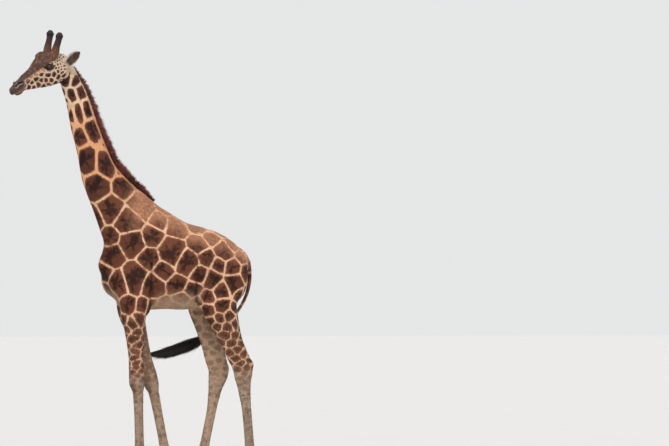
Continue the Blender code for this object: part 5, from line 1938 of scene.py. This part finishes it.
@dataclass
class Hair:
    """Long hair on a core: the mane along the neck, or the tuft at the tail's end."""

    name: str
    rows: Rows
    bunch: Bunch
    count: int
    core: tuple
    turn: float
    lift: float
    finish: LockFinish
    upright: bool = False
    clumps: int = 14
    seed: int = 17

    def build(self, planting: Planting, groups: Groups) -> None:
        """Make the core and plant the locks on it."""
        sweep = Sweep([(*row[:3], row[3] * self.core[0], row[4] * self.core[1], row[5] * self.core[2])
                       for row in self.rows], sides=16)
        rows, tangents, up, _ = sweep.frames()
        mesh = gathered([sweep.arrays()], self.name)
        points = points_of(mesh)
        near = np.argmin(np.linalg.norm(points[:, None, :] - rows[None, :, :3], axis=2), axis=1)
        along = near / (len(rows) - 1.0)
        full = smooth_rows(self.rows, 8)
        turn = np.arctan2(points[:, 1] - rows[near, 1], points[:, 2] - rows[near, 2]) / (2.0 * math.pi) + 0.5
        rng = np.random.default_rng(self.seed)
        group = near if self.upright else np.minimum((self.clumps * turn).astype(int), self.clumps - 1)
        clump = rng.uniform(size=len(rows))[group]
        lean = rng.uniform(-1.0, 1.0, len(rows))[group]
        if self.upright:
            high = np.einsum("ij,ij->i", points - rows[near, :3], up[near])
            length = np.maximum(full[near, 4] - high, 0.3 * full[near, 4]) * (0.9 + 0.16 * clump)
            lie = unit(up[near] + (0.12 + 0.3 * lean)[:, None] * tangents[near])
            density = smooth(-0.9, -0.2, high / full[near, 5])
        else:
            length = np.interp(along, (0.0, 0.5, 0.9, 1.0), (0.13, 0.17, 0.12, 0.07))
            lie = unit(tangents[near] + (0.0, 0.0, -0.06))
            density = np.ones(len(points))
        density = density * (np.abs(np.einsum("ij,ij->i", normals_of(mesh), lie)) < 0.75)
        store(mesh, length=length, lie=lie, density=density, clump=clump, tip=0.1 * density,
              chance=np.full(len(points), 0.4))
        chart(mesh, 0.05 + 0.9 * turn, 0.05 + 0.9 * along)
        set_points(mesh, points + FRAME_SHIFT)
        finish = self.finish.build(groups)
        bunches = self.bunch.collection(f"{self.name}_bunch")
        locks = planting.plant(mesh, bunches, self.count, finish, 7, self.turn, self.lift)
        mesh.shade_smooth()
        show(f"{self.name}_core", mesh, finish=finish)
        show(f"{self.name}_locks", locks, [self.name])


def hair_pieces() -> tuple[Hair, Hair]:
    """The mane and the tail's tuft."""
    mane = Hair("mane", MANE, Bunch(6, 3, 0.022, 0.07, 0.1, 0.04), 4600, (0.7, 0.25, 0.6), 0.2, 0.2,
                LockFinish("mane_hair", linear(44, 21, 22), linear(126, 66, 58)), upright=True)
    tuft = Hair("tail_tuft", TAIL_TUFT, Bunch(5, 6, 0.013, 0.035, 0.09, 0.03), 1900, (0.62, 0.95, 0.95),
                0.09, 0.05, LockFinish("tail_hair", linear(20, 16, 17), linear(44, 36, 36), 0.4))
    return mane, tuft


@dataclass
class Eyes:
    """The two eyeballs with the swell of the clear front."""

    swell: float = 0.045
    rings: int = 48
    sides: int = 64

    def build(self, finish: Material) -> None:
        """Make both eyes, each looking out of its lids."""
        for side in Side:
            centre, out, long, up = Face().eye_axes(side)
            ball = Lobe(centre, (EYE_RADIUS,) * 3, 0.0, self.rings, self.sides)
            mesh = gathered([ball.arrays()], "eye")
            ray = unit(points_of(mesh) - centre)
            front = ray @ out
            store(mesh, gaze=np.stack([ray @ long, ray @ up, front], 1))
            radius = EYE_RADIUS * (1.0 + self.swell * smooth(0.6, 0.92, front))
            set_points(mesh, from_head(centre + ray * radius[:, None]))
            mesh.shade_smooth()
            name = side.name.lower()
            show(f"eyeball_{name}", mesh, [f"eye_{name}"], finish)


@dataclass
class Lashes:
    """The long lashes of the upper lids, and shorter ones below."""

    bunch: Bunch = Bunch(2, 4, 0.035, 0.06, 0.16, 0.0, 0.3)
    per_lid: int = 45
    steps: int = 25
    upper: float = 0.017
    lower: float = 0.006

    def build(self, planting: Planting, groups: Groups) -> None:
        """Plant the lashes on narrow strips along the rims of the lids."""
        face = Face()
        finish = LockFinish("lash_hair", linear(22, 17, 17), linear(34, 26, 24), 0.4).build(groups)
        bunches = self.bunch.collection("lash_bunch")
        for side in Side:
            centre, out, long, up = face.eye_axes(side)
            verts, lies, lengths = [], [], []
            for tall, sign, reach in ((face.upper_lid, 1.0, self.upper), (face.lower_lid, -1.0, self.lower)):
                for t in np.linspace(0.12, 0.88, self.steps):
                    angle = math.pi * t
                    flat = long * math.cos(angle) * face.eye_half_turn + up * math.sin(angle) * tall * sign
                    for grow in (1.02, 1.1):
                        turn = np.linalg.norm(flat) * grow
                        ray = out * math.cos(turn) + unit(flat) * math.sin(turn)
                        verts.append(centre + ray * (face.lid_radius + 0.0008))
                        lie = out * 0.75 + unit(flat) * 0.55 - up * 0.1 + long * 0.35 * math.cos(angle)
                        lies.append(unit(lie))
                        lengths.append(reach * (0.6 + 0.4 * math.sin(angle)))
            lid = 2 * self.steps
            faces = [(a, a + 1, a + 3, a + 2) for b in (0, lid) for a in range(b, b + lid - 2, 2)]
            mesh = mesh_from(from_head(np.array(verts)), faces, "lids")
            store(mesh, lie=np.array(lies) @ head_matrix()[:3, :3].T, length=np.array(lengths),
                  density=np.ones(len(verts)))
            order = np.arange(len(verts))
            chart(mesh, order % lid / (lid + 5.0) + 0.03, order // lid * 0.4 + 0.2)
            lashes = planting.plant(mesh, bunches, 2 * self.per_lid, finish, 5, 0.15, 0.25)
            show(f"lashes_{side.name.lower()}", lashes)


@dataclass
class Horns:
    """The two horns, a little proud of the skin that they stand in."""

    proud: tuple = (0.0012, 0.0012, 0.0012, 0.0008, -0.003, -0.012)
    voxel: float = 0.0035
    bunch: Bunch = Bunch(blades=3, spans=2, width=0.14, spread=0.18, fan=0.25, rise=0.12)
    tufts: int = 3600
    knobs: int = 9
    knob_height: float = 0.0022
    groove_depth: float = 0.0012
    hair: float = 0.0065

    def build(self, planting: Planting, finish: Material) -> None:
        """Make both horns, uneven along the shaft and knobbed at the crown, and their short hair."""
        crown, foot = OSSICONE[0][2], OSSICONE[4][2]
        bunches = self.bunch.collection("horn_bunch")
        for side in Side:
            rows = [(*on_side(row, side), *np.add(row[3:], proud))
                    for row, proud in zip(OSSICONE, self.proud)]
            mesh = melted(gathered([Sweep(rows, sides=40).arrays()], "horn"), self.voxel, 2, 0)
            points, normals = points_of(mesh), normals_of(mesh)
            height = (points[:, 2] - foot) / (crown - foot)
            knob = np.zeros(len(points))
            for k in range(self.knobs):
                turn, level = k * 2.4, 0.8 + 0.05 * (k % 4)
                spot = np.array((math.cos(turn) * 0.03, math.sin(turn) * 0.03, foot + level * (crown - foot)))
                spot += on_side((*OSSICONE[1][:2], 0.0), side)
                knob += self.knob_height * bump(np.linalg.norm(points - spot, axis=1), 0.014)
            round_shaft = np.arctan2(points[:, 1] - 0.08 * side.value, points[:, 0] + 0.21)
            groove = self.groove_depth * np.sin(round_shaft * 5.0)
            points = points + normals * (knob + groove * smooth(0.9, 0.3, height))[:, None]
            turn = np.arctan2(points[:, 1] - 0.09 * side.value, points[:, 0] + 0.2) / (2.0 * math.pi) + 0.5
            set_points(mesh, from_head(points))
            mesh.shade_smooth()
            lie = head_matrix()[:3, :3] @ on_side((0.1, 0.03, 1.0), side)
            store(mesh, height=height, lie=np.tile(lie, (len(points), 1)), density=smooth(0.98, 0.8, height),
                  length=self.hair * (0.8 + 0.5 * smooth(0.55, 0.8, height)))
            chart(mesh, turn, 0.05 + 0.8 * np.clip(height, -0.05, 1.1))
            hair = planting.plant(mesh, bunches, self.tufts, finish, 9, 0.2, 0.1)
            name = side.name.lower()
            show(f"horn_{name}", mesh, [f"ossicone_{name}"], finish)
            show(f"horn_coat_{name}", hair)


@dataclass
class Hooves:
    """The claws of the hooves, rounded and ringed, in the place of their plain solids."""

    voxel: float = 0.0036
    rounds: int = 14
    ring_depth: float = 0.0004
    ring_pitch: float = 0.008

    def build(self, finish: Material) -> None:
        """Make each claw from its solid."""
        for name in sorted(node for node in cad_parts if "hoof" in node):
            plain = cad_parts[name].data.copy()
            with edited(plain) as bm:
                bmesh.ops.remove_doubles(bm, verts=bm.verts, dist=1e-5)
            low = float(points_of(plain)[:, 2].min())
            mesh = melted(plain, self.voxel, 2, 0)
            for _ in range(self.rounds):
                relax(mesh, 0.5, 0.5)
            points, normals = points_of(mesh), normals_of(mesh)
            wall = smooth(0.5, 0.85, np.hypot(normals[:, 0], normals[:, 1]))
            wall *= smooth(0.008, 0.02, points[:, 2] - low)
            uneven = 0.004 * np.sin(points[:, 2] * 90.0 + normals[:, 0]) + 0.02 * normals[:, 0]
            rings = np.sin((points[:, 2] + uneven) * 2.0 * math.pi / self.ring_pitch)
            points = points + normals * (self.ring_depth * rings * wall)[:, None]
            points[:, 2] = np.maximum(points[:, 2], low)
            set_points(mesh, points)
            mesh.shade_smooth()
            show(name.replace("hoof", "claw"), mesh, [name], finish)


# ---- Studio ----

@dataclass
class Studio:
    """A pale floor, soft lights and the camera."""

    floor_size: float = 600.0
    lights: tuple = (
        ("key", (-6.0, -10.0, 12.0), 24.0, 2.0, (1.0, 0.97, 0.93)),
        ("fill", (10.0, -12.0, 6.0), 40.0, 0.25, (0.94, 0.97, 1.0)),
        ("back", (5.0, 9.0, 10.0), 24.0, 1.0, (1.0, 0.98, 0.95)),
    )
    sky: Colour = (0.92, 0.925, 0.93)
    sky_strength: float = 0.86
    eye_point: tuple = (-27.3465, -85.658, 1.85)
    level_view: tuple = (0.309, 0.951, 0.0)
    turn_right: float = math.radians(1.0153)
    pitch_up: float = math.radians(0.4584)
    lens: float = 484.2

    def floor(self, groups: Groups) -> None:
        """The floor that the animal stands on."""
        half = self.floor_size / 2.0
        corners = ((-half, -half, 0.0), (half, -half, 0.0), (half, half, 0.0), (-half, half, 0.0))
        mesh = mesh_from(corners, [(0, 1, 2, 3)], "floor")
        mesh.materials.append(FloorFinish().build(groups))
        linked("floor", mesh)

    def light(self) -> None:
        """Wide soft lights and an even sky."""
        for name, place, breadth, power, tint in self.lights:
            lamp = bpy.data.lights.new(name, "SUN")
            lamp.angle, lamp.energy, lamp.color = math.radians(breadth), power, tint
            linked(name, lamp).rotation_euler = Vector(place).to_track_quat("Z", "Y").to_euler()
        world = bpy.data.worlds.new("sky")
        world.use_nodes = True
        background = world.node_tree.nodes["Background"]
        background.inputs["Color"].default_value = (*self.sky, 1.0)
        background.inputs["Strength"].default_value = self.sky_strength
        bpy.context.scene.world = world

    def camera(self) -> None:
        """A long lens at the height of the belly, turned a little towards the hind legs."""
        lens = bpy.data.cameras.new("camera")
        lens.sensor_width, lens.lens = 36.0, self.lens
        lens.clip_start, lens.clip_end = 1.0, 1000.0
        ahead = Vector(self.level_view).normalized()
        right = ahead.cross(Vector((0.0, 0.0, 1.0)))
        level = ahead * math.cos(self.turn_right) + right * math.sin(self.turn_right)
        look = level * math.cos(self.pitch_up) + Vector((0.0, 0.0, math.sin(self.pitch_up)))
        item = linked("camera", lens)
        item.location = self.eye_point
        item.rotation_euler = look.to_track_quat("-Z", "Y").to_euler()
        bpy.context.scene.camera = item
        bpy.context.scene.view_settings.view_transform = "Standard"


def main() -> None:
    """Build every piece in order and report each one."""
    logging.basicConfig(level=logging.INFO, format="%(name)s: %(message)s")
    groups = Groups()
    planting = Planting()
    coat = CoatFinish()
    hide = Hide()
    skin = hide.skin()
    hide.coats(skin, planting, coat.build(groups, True))
    show("skin", skin, hide.nodes(), coat.build(groups, False))
    Eyes().build(EyeFinish().build(groups))
    Lashes().build(planting, groups)
    Horns().build(planting, HornFinish().build(groups))
    Hooves().build(HoofFinish().build(groups))
    for hair in hair_pieces():
        hair.build(planting, groups)
    studio = Studio()
    studio.floor(groups)
    studio.light()
    studio.camera()


if __name__ == "__main__":
    main()
